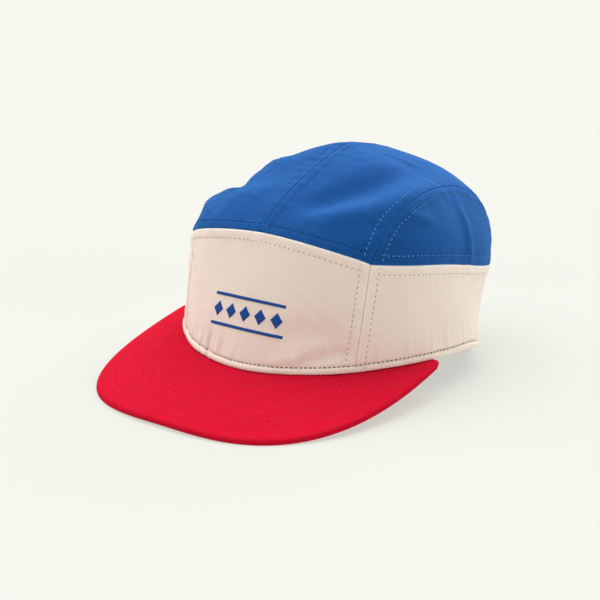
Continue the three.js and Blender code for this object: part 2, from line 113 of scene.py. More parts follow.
# Lesser folds of the front panel, which the solids leave out
SMALL_FOLDS = [
    Fold(1, 0.95, -1.6, 49, 0.3, 0.065, 0, -0.62),
    Fold(1, 0.6, -1.79, 66, 0.22, 0.035, 0, 0.12),
]

# Sewing: the seam's groove, the raised allowance beside it, and the topstitched row that holds it down
EDGE_ROUND = 0.75
EDGE_DROP = 0.85
ALLOWANCE_RISE = 0.3
ALLOWANCE_CROWN = 0.25
ALLOWANCE_FALL_FROM = 5
ALLOWANCE_FALL_TO = 7.6
ROW_DISTANCE = 5.4
ROW_FURROW = 0.22
ROW_WIDTH = 0.9
PUCKER = 0.16
PUCKER_SPREAD = 5
PUCKER_WAVES = (7.3, 11.7, 17.9)
# Paler colour along the seams: partly wear, partly a painted highlight of the seam edge that catches the
# light; the waist seam of the wall panels gets it in full
SEAM_WEAR_AND_HIGHLIGHT = 0.3
WORN_AND_LIT_WIDTH = 1.1

# The rolled hem's stitched furrow and the gathers over it
HEM_ROW_HEIGHT = 3.6
HEM_FURROW = 0.6
HEM_FURROW_WIDTH = 0.8
HEM_PUCKER = 0.36
HEM_PUCKER_HEIGHT = 6.6
HEM_PUCKER_SPREAD = 7
HEM_PUCKER_WAVES = (6.1, 9.7, 15.1, 23)
ROLL_RIPPLE = 0.07
ROLL_SEAM_LIMIT = 0.3

# Slight unevenness of washed cotton
BROAD_CREASE = 0.28
FINE_CREASE = 0.09

# Stitches: thread on the cloth, and at each end a dark patch, painted shade in the needle hole
STITCH_LENGTH = 2.3
STITCH_PITCH = 3.2
HEM_STITCH_LENGTH = 1.7
HEM_STITCH_PITCH = 2.7
THREAD_WIDTH = 0.46
THREAD_FLATNESS = 0.7
THREAD_RISE = 0.18
THREAD_SINK = 0.03
HOLE_OFFSET = 0.12
HOLE_LIFT = 0.1
HOLE_HALF_SIZE = (0.24, 0.24)
# The hem's patches are larger: painted shadow in the gaps between its stitches
HEM_HOLE_HALF_SIZE = (0.55, 0.36)
ROW_CLEARANCE = 1.6


def mix(low, high, share):
    return low + (high - low) * share


def smooth(value, low, high):
    share = np.clip((value - low) / (high - low), 0, 1)
    return share * share * (3 - 2 * share)


def hill(value, middle, width):
    return np.exp(-(((value - middle) / width) ** 2))


def unit(vectors):
    return vectors / np.maximum(np.linalg.norm(vectors, axis=-1, keepdims=True), 1e-12)


def around(angle, radius, height):
    return np.stack([radius * np.sin(angle), -radius * np.cos(angle), height + 0 * angle], -1)


def oval_radius(angle, front, back, side, power):
    front_share = 0.5 * (1 + np.tanh(np.cos(angle) / OVAL_BLEND))
    reach = mix(back, front, front_share)
    across = np.abs(np.sin(angle) / side) ** power
    along = np.abs(np.cos(angle) / reach) ** power
    return (across + along) ** (-1 / power)


def hem_point(angle):
    point = around(angle, oval_radius(angle, HEM_FRONT, HEM_BACK, HEM_SIDE, HEM_POWER), 0)
    drop = HEM_FRONT_DROP * (1 + np.cos(angle)) / 2
    rise = HEM_SIDE_RISE * (1 - np.cos(2 * angle)) / 2
    table = math.tan(REST_TILT * RADIANS) * (point[..., 1] - HEM_BACK)
    point[..., 2] = mix(rise - drop, table, smooth(np.abs(angle) / RADIANS, SETTLE_FROM, SETTLE_TO))
    return point


def waist_point(angle):
    degrees = np.abs(angle) / RADIANS
    share = np.minimum(degrees / FRONT_CORNER_ANGLE, 1)
    rise = (WAIST_HEIGHT_FRONT - WAIST_HEIGHT_CORNER) * np.cos(share * math.pi / 2) ** WAIST_RISE_POWER
    fall = (WAIST_HEIGHT_CORNER - WAIST_HEIGHT_BACK) * smooth(degrees, WAIST_FALL_FROM, WAIST_FALL_TO)
    radius = oval_radius(angle, WAIST_FRONT, WAIST_BACK, WAIST_SIDE, WAIST_POWER)
    return around(angle, radius, WAIST_HEIGHT_CORNER + rise - fall)


def dome_point(angle, radius):
    climb = (1 - radius) * math.pi / 2
    facing = np.cos(angle)
    power = mix(np.where(facing > 0, DOME_POWER_FRONT, DOME_POWER_BACK), DOME_POWER_SIDE, 1 - facing**2)
    level = np.maximum(np.cos(climb), 1e-6)
    up = np.maximum(np.sin(climb), 1e-6)
    reach = (level**power + up**power) ** (-1 / power)
    foot = waist_point(angle)
    x = foot[..., 0] * level * reach
    y = APEX_BACK + (foot[..., 1] - APEX_BACK) * level * reach
    z = foot[..., 2] + (CROWN_HEIGHT - foot[..., 2]) * up * reach
    return np.stack([x, y, z], -1)


def chart(angle, radius):
    """Place on the round chart of the crown: centre at the top, waist seam at 1 and hem at 2."""
    return np.stack([radius * np.sin(angle), -radius * np.cos(angle)], -1)


def polar(place):
    """Angle and radius of a place on the chart."""
    return np.arctan2(place[..., 0], -place[..., 1]), np.hypot(place[..., 0], place[..., 1])


def spline(points, shares):
    """Uniform Catmull-Rom curve through the points."""
    points = np.array(points, float)
    last = len(points) - 1
    position = np.asarray(shares, float) * last
    index = np.minimum(np.floor(position).astype(int), last - 1)
    t = (position - index)[..., None]
    before, start = points[np.maximum(index - 1, 0)], points[index]
    end, after = points[index + 1], points[np.minimum(index + 2, last)]
    leave, arrive = (end - before) / 2, (after - start) / 2
    cubic = 2 * start - 2 * end + leave + arrive
    square = -3 * start + 3 * end - 2 * leave - arrive
    return cubic * t**3 + square * t**2 + leave * t + start


FRONT_CORNER = FRONT_CORNER_ANGLE * RADIANS
REAR_CORNER = REAR_CORNER_ANGLE * RADIANS
side_seam_knots = [chart(FRONT_CORNER, 1), *SIDE_SEAM, chart(REAR_CORNER, 1)]
side_seam_marks = spline(side_seam_knots, np.linspace(0, 1, 37))


def side_seam(shares):
    return spline(side_seam_knots, shares)


def cloth_lift(place):
    """How far the cloth stands off the plain form."""
    across, back = place[..., 0], place[..., 1]
    lift = np.zeros(across.shape)
    for fold in FOLDS + SMALL_FOLDS:
        aside, behind = across * fold.side - fold.across, back - fold.back
        sine, cosine = math.sin(fold.turn * RADIANS), math.cos(fold.turn * RADIANS)
        along = aside * sine + behind * cosine
        over = aside * cosine - behind * sine - fold.bend * along**2
        lift += FOLD_LIFT * fold.lift * np.exp(-((over / fold.width) ** 2) - (along / fold.length) ** 4)
    on_left = np.stack([np.abs(across), back], -1)
    seam = np.min(np.linalg.norm(on_left[..., None, :] - side_seam_marks, axis=-1), -1)
    ribs = hill(across, 0, SEAM_SHARE) + hill(seam, 0, SEAM_SHARE)
    fading = 1 - smooth(np.hypot(across, back), RIB_FADE_FROM, RIB_FADE_TO)
    return lift + SEAM_LIFT * ribs * fading


HEART = np.array([0, APEX_BACK, WAIST_HEIGHT_BACK / 2])


def crown_point(place):
    """Outer face of the plain crown, with its folds but no sewing."""
    angle, radius = polar(place)
    dome = dome_point(angle, np.minimum(radius, 1))
    wall = mix(waist_point(angle), hem_point(angle), (radius - 1)[..., None])
    on_dome = (radius <= 1)[..., None]
    point = np.where(on_dome, dome, wall)
    outward = (point - HEART) * np.where(on_dome, [1, 1, 1], [1, 1, 0])
    return point + unit(outward) * cloth_lift(place)[..., None]


def crown_slopes(place, step=0.012):
    across, back = np.array([step, 0]), np.array([0, step])
    along_across = (crown_point(place + across) - crown_point(place - across)) / (2 * step)
    along_back = (crown_point(place + back) - crown_point(place - back)) / (2 * step)
    return along_across, along_back


def crown_normal(place):
    along_across, along_back = crown_slopes(place)
    return unit(np.cross(along_across, along_back))


def wall_length(angle):
    return np.linalg.norm(waist_point(angle) - hem_point(angle), axis=-1)


def wall_place(angle, height):
    return chart(angle, 2 - height / wall_length(angle))


def to_world(points):
    """Cap frame in millimetres to the model's frame in metres."""
    x, y, z = points[..., 0], points[..., 1] - HEM_BACK, points[..., 2]
    forward = y * TILT_COSINE + z * TILT_SINE + WORLD_SHIFT
    return MM * np.stack([x, forward, z * TILT_COSINE - y * TILT_SINE], -1)


# Seams

def arch_angle(climb):
    """Angle of the rear opening's edge from the centre back."""
    height = climb * (wall_length(np.array(math.pi)) - ROLL_HEIGHT)
    share = np.minimum(height / (ARCH_HEIGHT - ROLL_HEIGHT), 1)
    return ARCH_ANGLE * RADIANS * np.sqrt(1 - share**2)


def front_seam_angle(climb):
    return mix(FRONT_SEAM_HEM_ANGLE, FRONT_CORNER_ANGLE, climb) * RADIANS


def climb_place(angle, climb):
    return wall_place(angle, mix(ROLL_HEIGHT, wall_length(angle), climb))


def mirrored(places, side):
    return places * np.array([side, 1])


def seam_lines():
    """Chart places along every seam, close together."""
    shares = np.linspace(0, 1, 161)
    arch_shares = np.sin(shares * math.pi / 2) * ARCH_TOP
    over_roll = mix(-ROLL_HEIGHT / WAIST_HEIGHT_FRONT, 1, shares)
    lines = {
        "centre": np.stack([0 * shares, mix(-1, 1, shares)], -1),
        "rear": climb_place(np.full(60, math.pi), np.linspace(ARCH_TOP, 1, 60)),
    }
    for name, side in SIDES:
        lines[f"waist_{name}"] = mirrored(chart(shares * math.pi, 1), side)
        lines[f"side_{name}"] = mirrored(side_seam(shares), side)
        lines[f"front_{name}"] = mirrored(climb_place(front_seam_angle(over_roll), over_roll), side)
        lines[f"arch_{name}"] = mirrored(climb_place(math.pi - arch_angle(arch_shares), arch_shares), side)
    return lines


SIDES = [("left", 1), ("right", -1)]
ARCH_TOP = (ARCH_HEIGHT - ROLL_HEIGHT) / (wall_length(np.array(math.pi)) - ROLL_HEIGHT)
SEAM_CHARTS = seam_lines()
SEAM_POINTS = {name: crown_point(line) for name, line in SEAM_CHARTS.items()}


# Points measured at a time, which spares memory
BATCH = 2000


def measure(points, line):
    """Distance of each point to a line of points, and how far along the line it lies."""
    start, step = line[:-1], line[1:] - line[:-1]
    lengths = np.linalg.norm(step, axis=-1)
    travelled = np.concatenate([[0], np.cumsum(lengths)[:-1]])
    distance = np.empty(len(points))
    along = np.empty(len(points))
    for first in range(0, len(points), BATCH):
        batch = slice(first, first + BATCH)
        offset = points[batch, None, :] - start
        share = np.clip(np.sum(offset * step, -1) / np.maximum(lengths**2, 1e-12), 0, 1)
        gap = np.linalg.norm(offset - share[..., None] * step, axis=-1)
        nearest = np.argmin(gap, 1)
        rows = np.arange(len(nearest))
        distance[batch] = gap[rows, nearest]
        along[batch] = travelled[nearest] + share[rows, nearest] * lengths[nearest]
    return distance, along


def waves(along, lengths, seed):
    """Sum of sines of the given wave lengths, of uneven phase, between about -1 and 1."""
    phases = np.random.default_rng(seed).uniform(0, 2 * math.pi, len(lengths))
    parts = [np.sin(2 * math.pi * along / length + phase) for length, phase in zip(lengths, phases)]
    return sum(parts) / math.sqrt(len(parts))


def sewn_relief(distance, along, seed):
    """Height of the cloth beside a sewn and topstitched seam."""
    lip = np.clip(1 - distance / EDGE_ROUND, 0, 1)
    drop = -EDGE_DROP * (1 - np.sqrt(1 - np.minimum(lip, 0.999) ** 2))
    middle = (distance - ROW_DISTANCE / 2) / (ROW_DISTANCE / 2)
    pillow = ALLOWANCE_RISE * (1 - ALLOWANCE_CROWN * np.minimum(middle**2, 1))
    pillow *= 1 - smooth(distance, ALLOWANCE_FALL_FROM, ALLOWANCE_FALL_TO)
    furrow = -ROW_FURROW * hill(distance, ROW_DISTANCE, ROW_WIDTH)
    puckers = PUCKER * waves(along, PUCKER_WAVES, seed)
    return drop + pillow + furrow + puckers * hill(distance, ROW_DISTANCE, PUCKER_SPREAD)


def hem_relief(height, along):
    """Height of the cloth above the rolled hem, drawn in by its stitches."""
    furrow = -HEM_FURROW * hill(height, HEM_ROW_HEIGHT, HEM_FURROW_WIDTH)
    puckers = HEM_PUCKER * waves(along, HEM_PUCKER_WAVES, 5)
    return furrow + puckers * hill(height, HEM_PUCKER_HEIGHT, HEM_PUCKER_SPREAD)


def creases(points, seed):
    """Height of the cloth's slight unevenness."""
    x, y, z = points[..., 0], points[..., 1], points[..., 2]
    broad = waves(x + 0.6 * z, (61, 43), seed) * waves(y - 0.5 * z, (53, 37), seed + 1)
    fine = waves(x + z + 0.3 * y, (15, 23), seed + 2) * waves(y + 0.7 * z - 0.4 * x, (19, 13), seed + 3)
    return BROAD_CREASE * broad + FINE_CREASE * fine


# Panels: which seams bound each one, and the chart place for a share across and along it

def coons(front, rear, inner, outer, share, along):
    """A patch between four edges."""
    ends = mix(front(share), rear(share), along[..., None])
    sides = mix(inner(along), outer(along), share[..., None])
    first = mix(inner(0 * along), outer(0 * along), share[..., None])
    last = mix(inner(0 * along + 1), outer(0 * along + 1), share[..., None])
    return ends + sides - mix(first, last, along[..., None])


def top_place(share, along):
    return coons(
        lambda s: chart(s * FRONT_CORNER, 1),
        lambda s: chart(math.pi - s * (math.pi - REAR_CORNER), 1),
        lambda t: np.stack([0 * t, mix(-1, 1, t)], -1),
        side_seam,
        share,
        along,
    )


KNEE = 0.2


def side_upper_place(share, along):
    return coons(
        lambda s: chart(mix(FRONT_CORNER, REAR_CORNER, s), 1),
        lambda s: side_seam(mix(KNEE, 1 - KNEE, s)),
        lambda t: side_seam(t * KNEE),
        lambda t: side_seam(1 - t * KNEE),
        along,
        share,
    )


# Distances from a seam at which the cloth that turns into it has a line of points
SEAM_STEPS = np.array([0, 0.1, 0.22, 0.4, 0.65, 0.95, 1.4, 2.1, 3, 3.9, 4.6, 5.1, 5.7, 6.3, 7.2])


def steps(length, cell):
    """Shares of a length: seam steps beside both ends, and even ones between."""
    fine = SEAM_STEPS[:-1]
    middle = np.linspace(SEAM_STEPS[-1], length - SEAM_STEPS[-1], max(2, round(length / cell)))
    return np.concatenate([fine, middle, (length - fine)[::-1]]) / length


def grid_faces(columns, rows):
    index = np.arange(columns * rows).reshape(rows, columns)
    corners = [index[:-1, :-1], index[:-1, 1:], index[1:, 1:], index[1:, :-1]]
    return np.stack([corner.ravel() for corner in corners], -1)


# Knots of the net by which a pattern piece is laid flat
NET_ROWS = 19
NET_COLUMNS = 15


def flattened(points, turns=400):
    """The pattern piece: the grid laid out flat with its lengths kept as well as they can be."""
    rows, columns = points.shape[:2]
    pick_rows = np.unique(np.linspace(0, rows - 1, NET_ROWS).astype(int))
    pick_columns = np.unique(np.linspace(0, columns - 1, NET_COLUMNS).astype(int))
    coarse = points[np.ix_(pick_rows, pick_columns)]
    across = np.linalg.norm(np.diff(coarse, axis=1), axis=-1)
    up = np.linalg.norm(np.diff(coarse, axis=0), axis=-1)
    flat = np.zeros(coarse.shape[:2] + (2,))
    flat[:, 1:, 0] = np.cumsum(across, 1)
    flat[:, :, 0] -= flat[:, -1:, 0] / 2
    flat[1:, :, 1] = np.cumsum(up, 0)
    index = np.arange(flat[..., 0].size).reshape(flat.shape[:2])
    pairs = [(index[:, :-1], index[:, 1:]), (index[:-1], index[1:])]
    pairs += [(index[:-1, :-1], index[1:, 1:]), (index[:-1, 1:], index[1:, :-1])]
    start, end = (np.concatenate([pair[which].ravel() for pair in pairs]) for which in (0, 1))
    solid, plane = coarse.reshape(-1, 3), flat.reshape(-1, 2)
    lengths = np.linalg.norm(solid[end] - solid[start], axis=-1)
    count = np.bincount(np.concatenate([start, end]))[:, None]
    for _ in range(turns):
        step = plane[end] - plane[start]
        stretch = np.linalg.norm(step, axis=-1)
        pull = step * (0.5 * (stretch - lengths) / np.maximum(stretch, 1e-6))[:, None]
        move = np.zeros(plane.shape)
        np.add.at(move, start, pull)
        np.add.at(move, end, -pull)
        plane += move / count
    flat = plane.reshape(flat.shape)
    full = np.empty((rows, columns, 2))
    for axis in (0, 1):
        by_row = np.stack([np.interp(np.arange(columns), pick_columns, line) for line in flat[..., axis]])
        full[..., axis] = np.stack([np.interp(np.arange(rows), pick_rows, line) for line in by_row.T], -1)
    return full


def add_object(name, data):
    made = bpy.data.objects.new(name, data)
    bpy.context.scene.collection.objects.link(made)
    return made


def make_mesh(name, vertices, faces, materials, weave=None, face_materials=None):
    """A smooth object in the model's frame, from points in the cap's frame."""
    mesh = bpy.data.meshes.new(name)
    mesh.from_pydata(to_world(vertices).tolist(), [], [tuple(face) for face in faces])
    for material in materials:
        mesh.materials.append(material)
    if face_materials is not None:
        mesh.polygons.foreach_set("material_index", face_materials)
    mesh.polygons.foreach_set("use_smooth", [True] * len(mesh.polygons))
    if weave is not None:
        layer = mesh.attributes.new("weave", "FLOAT_VECTOR", "POINT")
        flat = np.concatenate([weave, np.zeros((len(weave), 1))], 1)
        layer.data.foreach_set("vector", flat.astype(np.float32).ravel())
    mesh.validate()
    mesh.update()
    made = add_object(name, mesh)
    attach(made, "root")
    return made


def closed_shell(outer, inner):
    """Vertices and faces of a wall between two grids of points."""
    rows, columns = outer.shape[:2]
    faces = grid_faces(columns, rows)
    size = rows * columns
    index = np.arange(size).reshape(rows, columns)
    border = np.concatenate([index[0, :-1], index[:-1, -1], index[-1, :0:-1], index[:0:-1, 0]])
    following = np.roll(border, -1)
    edge = np.stack([following, border, border + size, following + size], -1)
    all_faces = np.concatenate([faces, faces[:, ::-1] + size, edge])
    vertices = np.concatenate([outer.reshape(-1, 3), inner.reshape(-1, 3)])
    first = vertices[all_faces[:, 0]]
    spans = np.cross(vertices[all_faces[:, 1]] - first, vertices[all_faces[:, 2]] - first)
    volume = np.sum(first * spans)
    return vertices, all_faces if volume > 0 else all_faces[:, ::-1]


def joined(parts):
    """Vertices and faces of several parts as one."""
    starts = np.cumsum([0] + [len(part[0]) for part in parts[:-1]])
    faces = [part[1] + start for part, start in zip(parts, starts)]
    return np.concatenate([part[0] for part in parts]), np.concatenate(faces)


def make_shell(name, outer, inner, material, weave):
    """A closed wall between two grids of points, in the place of the solid of that name."""
    vertices, faces = closed_shell(outer, inner)
    made = make_mesh(f"{name}_cloth", vertices, faces, [material], np.concatenate([weave, weave]))
    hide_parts(name)
    return made


# Materials

def settle(tree, made, inputs):
    """Give a node's sockets their values, or link them to other sockets."""
    for key, source in inputs.items():
        if isinstance(source, bpy.types.NodeSocket):
            tree.links.new(source, made.inputs[key])
        else:
            made.inputs[key].default_value = source


def shader(name, inputs):
    """A new material with its main shader, ready for more nodes."""
    material = bpy.data.materials.new(name)
    material.use_nodes = True
    surface = material.node_tree.nodes["Principled BSDF"]
    settle(material.node_tree, surface, inputs)
    return material, material.node_tree, surface


def node(tree, kind, inputs, **values):
    made = tree.nodes.new(kind)
    for key, value in values.items():
        setattr(made, key, value)
    settle(tree, made, inputs)
    return made


def math_node(tree, operation, first, second):
    return node(tree, "ShaderNodeMath", {0: first, 1: second}, operation=operation).outputs[0]


def scaled(tree, source, factor):
    return math_node(tree, "MULTIPLY", source, factor)


def blend_colours(tree, share, first, second):
    made = node(tree, "ShaderNodeMix", {}, data_type="RGBA")
    numbers = {socket.identifier: index for index, socket in enumerate(made.inputs)}
    wanted = {"Factor_Float": share, "A_Color": first, "B_Color": second}
    settle(tree, made, {numbers[key]: source for key, source in wanted.items()})
    return next(socket for socket in made.outputs if socket.identifier == "Result_Color")


def turned(tree, vector, turn, scale=(1, 1, 1)):
    settings = {"Vector": vector, "Rotation": (0, 0, turn * RADIANS), "Scale": scale}
    return node(tree, "ShaderNodeMapping", settings).outputs["Vector"]


def bands(tree, vector, turn, pitch, distortion=0.0, detail=0.0):
    """Stripes of the given pitch in millimetres, turned by degrees."""
    settings = {"Vector": turned(tree, vector, turn), "Scale": math.pi / 10 / pitch,
                "Distortion": distortion, "Detail": detail, "Detail Scale": 1.5}
    return node(tree, "ShaderNodeTexWave", settings, wave_profile="SIN").outputs["Fac"]


def noise(tree, vector, size, detail=2.0, stretch=(1, 1, 1), turn=0.0):
    """Soft noise whose lumps are about that many millimetres across."""
    place = turned(tree, vector, turn, [value / size for value in stretch])
    settings = {"Vector": place, "Scale": 1, "Detail": detail}
    return node(tree, "ShaderNodeTexNoise", settings).outputs["Fac"]


def shade(colour, factor):
    return tuple(min(1, part * factor) for part in colour[:3]) + (1,)


def add_bump(tree, surface, height, depth):
    """Relief of a depth in millimetres."""
    bump = node(tree, "ShaderNodeBump", {"Distance": depth * MM, "Height": height})
    settle(tree, surface, {"Normal": bump.outputs["Normal"]})


def object_place(tree):
    """Place on the object in millimetres."""
    place = node(tree, "ShaderNodeTexCoord", {}).outputs["Object"]
    return node(tree, "ShaderNodeVectorMath", {0: place, "Scale": 1 / MM}, operation="SCALE").outputs[0]


RIDGE_SHARE = 0.7
YARN_SHARE = 0.3
SLUB_SHARE = 0.45
DYE_SHARE = 0.22
WEAR_AND_HIGHLIGHT_SHARE = 0.85
FUZZ_SHARE = 0.5


def twill(name, colour, turn, fuzz_colour, sheen=0.2, pitch=1.1, ridge_shading=0.3, depth=0.09, worn_and_lit_colour=None):
    """Cotton twill: slanted ridges broken into yarns, painted darker in their grooves and lighter on their
    tops as painted shade and painted light, with slubs, uneven dye, and paler edges that are partly wear and
    partly a painted highlight.
    """
    material, tree, surface = shader(name, {
        "Specular IOR Level": 0.05,
        "Roughness": 0.9,
        "Sheen Weight": sheen,
        "Sheen Roughness": 0.45,
        "Sheen Tint": shade(fuzz_colour, 1),
    })
    weave = node(tree, "ShaderNodeAttribute", {}, attribute_name="weave").outputs["Vector"]
    wear_and_highlight = node(tree, "ShaderNodeAttribute", {}, attribute_name="wear_and_highlight").outputs["Fac"]
    ridges = bands(tree, weave, turn, pitch, distortion=1.1, detail=2)
    yarns = bands(tree, weave, turn + 70, pitch * 0.62, distortion=0.8)
    slubs = noise(tree, weave, 0.9, 3, stretch=(2.2, 0.7, 1), turn=turn)
    dye = noise(tree, weave, 26, 3)
    fuzz = noise(tree, weave, 0.5)
    relief = math_node(tree, "ADD", scaled(tree, ridges, RIDGE_SHARE), scaled(tree, yarns, YARN_SHARE))
    # Painted shade in the weave's grooves and painted light on its ridges, following the same relief as the
    # bump
    woven = blend_colours(tree, relief, shade(colour, 1 - ridge_shading), shade(colour, 1 + ridge_shading * 0.4))
    worn_and_lit = shade(worn_and_lit_colour or [mix(part, 1, 0.2) for part in colour], 1)
    # Slubs and uneven dye are the cloth's own; the paler seam colour is partly wear and partly a painted
    # highlight
    layers = [
        (slubs, SLUB_SHARE, shade(colour, 1.2)),
        (dye, DYE_SHARE, shade(colour, 0.74)),
        (wear_and_highlight, WEAR_AND_HIGHLIGHT_SHARE, worn_and_lit),
    ]
    for pattern, share, tint in layers:
        woven = blend_colours(tree, scaled(tree, pattern, share), woven, tint)
    settle(tree, surface, {"Base Color": woven})
    add_bump(tree, surface, math_node(tree, "ADD", relief, scaled(tree, fuzz, FUZZ_SHARE)), depth)
    return material


def thread(name, colour):
    """Twisted polyester sewing thread."""
    material, tree, surface = shader(name, {"Specular IOR Level": 0.08, "Roughness": 0.65})
    place = object_place(tree)
    tinted = blend_colours(tree, noise(tree, place, 3), shade(colour, 0.85), shade(colour, 1.12))
    settle(tree, surface, {"Base Color": tinted})
    add_bump(tree, surface, bands(tree, place, 35, 0.3), 0.03)
    return material


BEIGE = (0.9, 0.757, 0.655)
BLUE = (0.0092, 0.082, 0.3)
RED = (0.55, 0.004, 0.024)
PALE_FUZZ = (0.9, 0.92, 1)
BLUE_FUZZ = (0.13, 0.4, 1)
RED_FUZZ = (1, 0.06, 0.1)

# Each twill's paler seam colour is partly wear and partly a painted highlight
beige_twill = twill("beige_twill", BEIGE, 33, PALE_FUZZ, ridge_shading=0.27, worn_and_lit_colour=(1, 0.95, 0.9))
blue_twill = twill("blue_twill", BLUE, -55, BLUE_FUZZ, sheen=0.55, ridge_shading=0.85, depth=0.13,
                   worn_and_lit_colour=(0.02, 0.15, 0.48))
red_twill = twill("red_twill", RED, -43, RED_FUZZ, sheen=0.1, ridge_shading=0.22)
band_cotton = twill("band_cotton", shade(BEIGE, 0.96), 90, PALE_FUZZ, pitch=0.8, ridge_shading=0.1)
strap_twill = twill("strap_twill", BEIGE, 30, PALE_FUZZ, pitch=0.9, ridge_shading=0.2)
beige_thread = thread("beige_thread", (0.95, 0.86, 0.76))
pale_thread = thread("pale_blue_thread", (0.09, 0.29, 0.62))
blue_thread = thread("blue_thread", (0.025, 0.17, 0.48))
navy_thread = thread("navy_thread", (0.003, 0.035, 0.14))
red_thread = thread("red_thread", (0.78, 0.02, 0.045))
blue_embroidery = thread("blue_embroidery", (0.015, 0.07, 0.29))
# Dark colours of the needle holes: painted shade in the holes and between the stitches
needle_hole_shade = thread("needle_hole_shade", (0.3, 0.21, 0.16))
hem_hole_shade = thread("needle_hole_shade_hem", (0.14, 0.085, 0.06))
blue_hole_shade = thread("needle_hole_shade_blue", (0.004, 0.038, 0.15))
red_hole_shade = thread("needle_hole_shade_red", (0.45, 0.004, 0.018))


# Crown panels

def side_of(name):
    return -1 if name.endswith("right") else 1


def inside(name, places):
    """Whether places on the chart belong to that panel."""
    across, back = places[:, 0] * side_of(name), places[:, 1]
    radius = np.hypot(across, back)
    angle = np.arctan2(across, -back)
    line = SEAM_CHARTS["side_left"]
    seam_across = np.interp(back, line[:, 1], line[:, 0], left=2, right=2)
    if name.startswith("top"):
        return (radius < 1) & (across > 0) & (across < seam_across)
    if name.startswith("side_upper"):
        return (radius < 1) & (across > seam_across) & (across > 0)
    climb = ((2 - radius) * wall_length(angle) - ROLL_HEIGHT) / (wall_length(angle) - ROLL_HEIGHT)
    edge = front_seam_angle(np.maximum(climb, 0))
    if name == "front_panel":
        return (radius > 1) & (np.abs(angle) < edge)
    opening = np.where(climb < ARCH_TOP, arch_angle(np.clip(climb, 0, ARCH_TOP)), 0)
    return (radius > 1) & (angle > edge) & (angle < math.pi - opening)


def panel_seams(name):
    label = name.rpartition("_")[2]
    if name.startswith("top"):
        return ["centre", f"side_{label}", f"waist_{label}"]
    if name.startswith("side_upper"):
        return [f"side_{label}", f"waist_{label}"]
    if name == "front_panel":
        return ["front_left", "front_right", "waist_left", "waist_right"]
    return [f"front_{label}", f"waist_{label}", "rear", f"arch_{label}"]


PANEL_NAMES = ["front_panel"]
for label, _ in SIDES:
    PANEL_NAMES += [f"side_lower_{label}", f"side_upper_{label}", f"top_panel_{label}"]


def wall_height(places):
    """Height up the wall from the hem, along the cloth; far off above the waist."""
    angle, radius = polar(places)
    return (2 - radius) * wall_length(angle)


def roll_proud(height):
    middle = ROLL_HEIGHT * ROLL_MIDDLE
    across = (height - middle) / (ROLL_HEIGHT - middle)
    return ROLL_PROUD * np.sqrt(np.clip(1 - across**2, 0, 1))


def panel_face(name, places):
    """Outer face of a panel at chart places, its outward direction, and how much paler the cloth is painted
    there along the seams: partly wear, partly a painted highlight of the lit seam edge.
    """
    base = crown_point(places)
    normal = crown_normal(places)
    seed = 10 * PANEL_NAMES.index(name)
    height = creases(base, 3)
    wear_and_highlight = np.zeros(len(places))
    on_wall = "lower" in name or name == "front_panel"
    for index, seam in enumerate(panel_seams(name)):
        distance, along = measure(base, SEAM_POINTS[seam])
        height += sewn_relief(distance, along, seed + index)
        # Paler along each seam: partly wear, partly a painted highlight of the lit edge, in full on the
        # wall's waist seam
        worn_and_lit = hill(distance, 0, WORN_AND_LIT_WIDTH)
        wear_and_highlight = np.maximum(wear_and_highlight, worn_and_lit if seam.startswith("waist") and on_wall else SEAM_WEAR_AND_HIGHLIGHT * worn_and_lit)
    if on_wall:
        climbed = wall_height(places)
        angle, _ = polar(places)
        ripple = ROLL_RIPPLE * np.sin(angle * HEM_SIDE * 2 * math.pi / HEM_STITCH_PITCH)
        above_roll = height + hem_relief(climbed, angle * HEM_SIDE)
        on_roll = np.minimum(height, ROLL_SEAM_LIMIT) + roll_proud(climbed) + ripple
        height = np.where(climbed <= ROLL_HEIGHT, on_roll, above_roll)
        level = climbed < 1e-6
        up = np.array([0, -TILT_SINE, TILT_COSINE])
        normal[level] = unit(normal[level] - (normal[level] @ up)[:, None] * up)
    return base + normal * height[:, None], normal, wear_and_highlight


def build_panel(name, places, material):
    flat_places = places.reshape(-1, 2)
    outer, normal, wear_and_highlight = panel_face(name, flat_places)
    base = crown_point(flat_places)
    grid = places.shape[:2] + (3,)
    weave = flattened(base.reshape(grid)).reshape(-1, 2)
    weave[:, 0] *= side_of(name)
    inner = base - normal * CLOTH
    made = make_shell(name, outer.reshape(grid), inner.reshape(grid), material, weave)
    # The paler seam colour, wear and painted highlight, on the outer face only
    layer = made.data.attributes.new("wear_and_highlight", "FLOAT", "POINT")
    layer.data.foreach_set("value", np.concatenate([wear_and_highlight, wear_and_highlight * 0]).astype(np.float32))


# Rough sizes of the panels and of their meshes' cells, which set only how many points they have
CLIMB = 62
FRONT_WIDTH = 145
LOWER_WIDTH = 205
UPPER_SIZE = (170, 52)
TOP_SIZE = (68, 235)
CELL = 1.25
LOWER_CELL = 1.35
UPPER_CELL = 1.1
TOP_CELL = 1.15
ROLL_ROWS = 12
ARCH_ROWS = 38
HEM_STEPS = np.array([0, 0.35, 0.7, 1, 1.3, 1.7, 2.2, 2.9, 3.8]) / CLIMB


def roll_heights():
    """Heights over the half-round roll, evenly spaced round it."""
    middle = ROLL_HEIGHT * ROLL_MIDDLE
    reach = ROLL_HEIGHT - middle
    return middle - reach * np.cos(np.linspace(math.acos(middle / reach), math.pi, ROLL_ROWS))


def lower_grid(columns, climbs, ends):
    """Chart places of a lower panel. ends gives its two edge angles at a share of the climb."""
    climbs = np.concatenate([HEM_STEPS, climbs[climbs > HEM_STEPS[-1] + 0.01]])
    rows = [wall_place(mix(*ends(0), columns), height) for height in roll_heights()[:-1]]
    rows += [climb_place(mix(*ends(climb), columns), climb) for climb in climbs]
    return np.stack(rows)


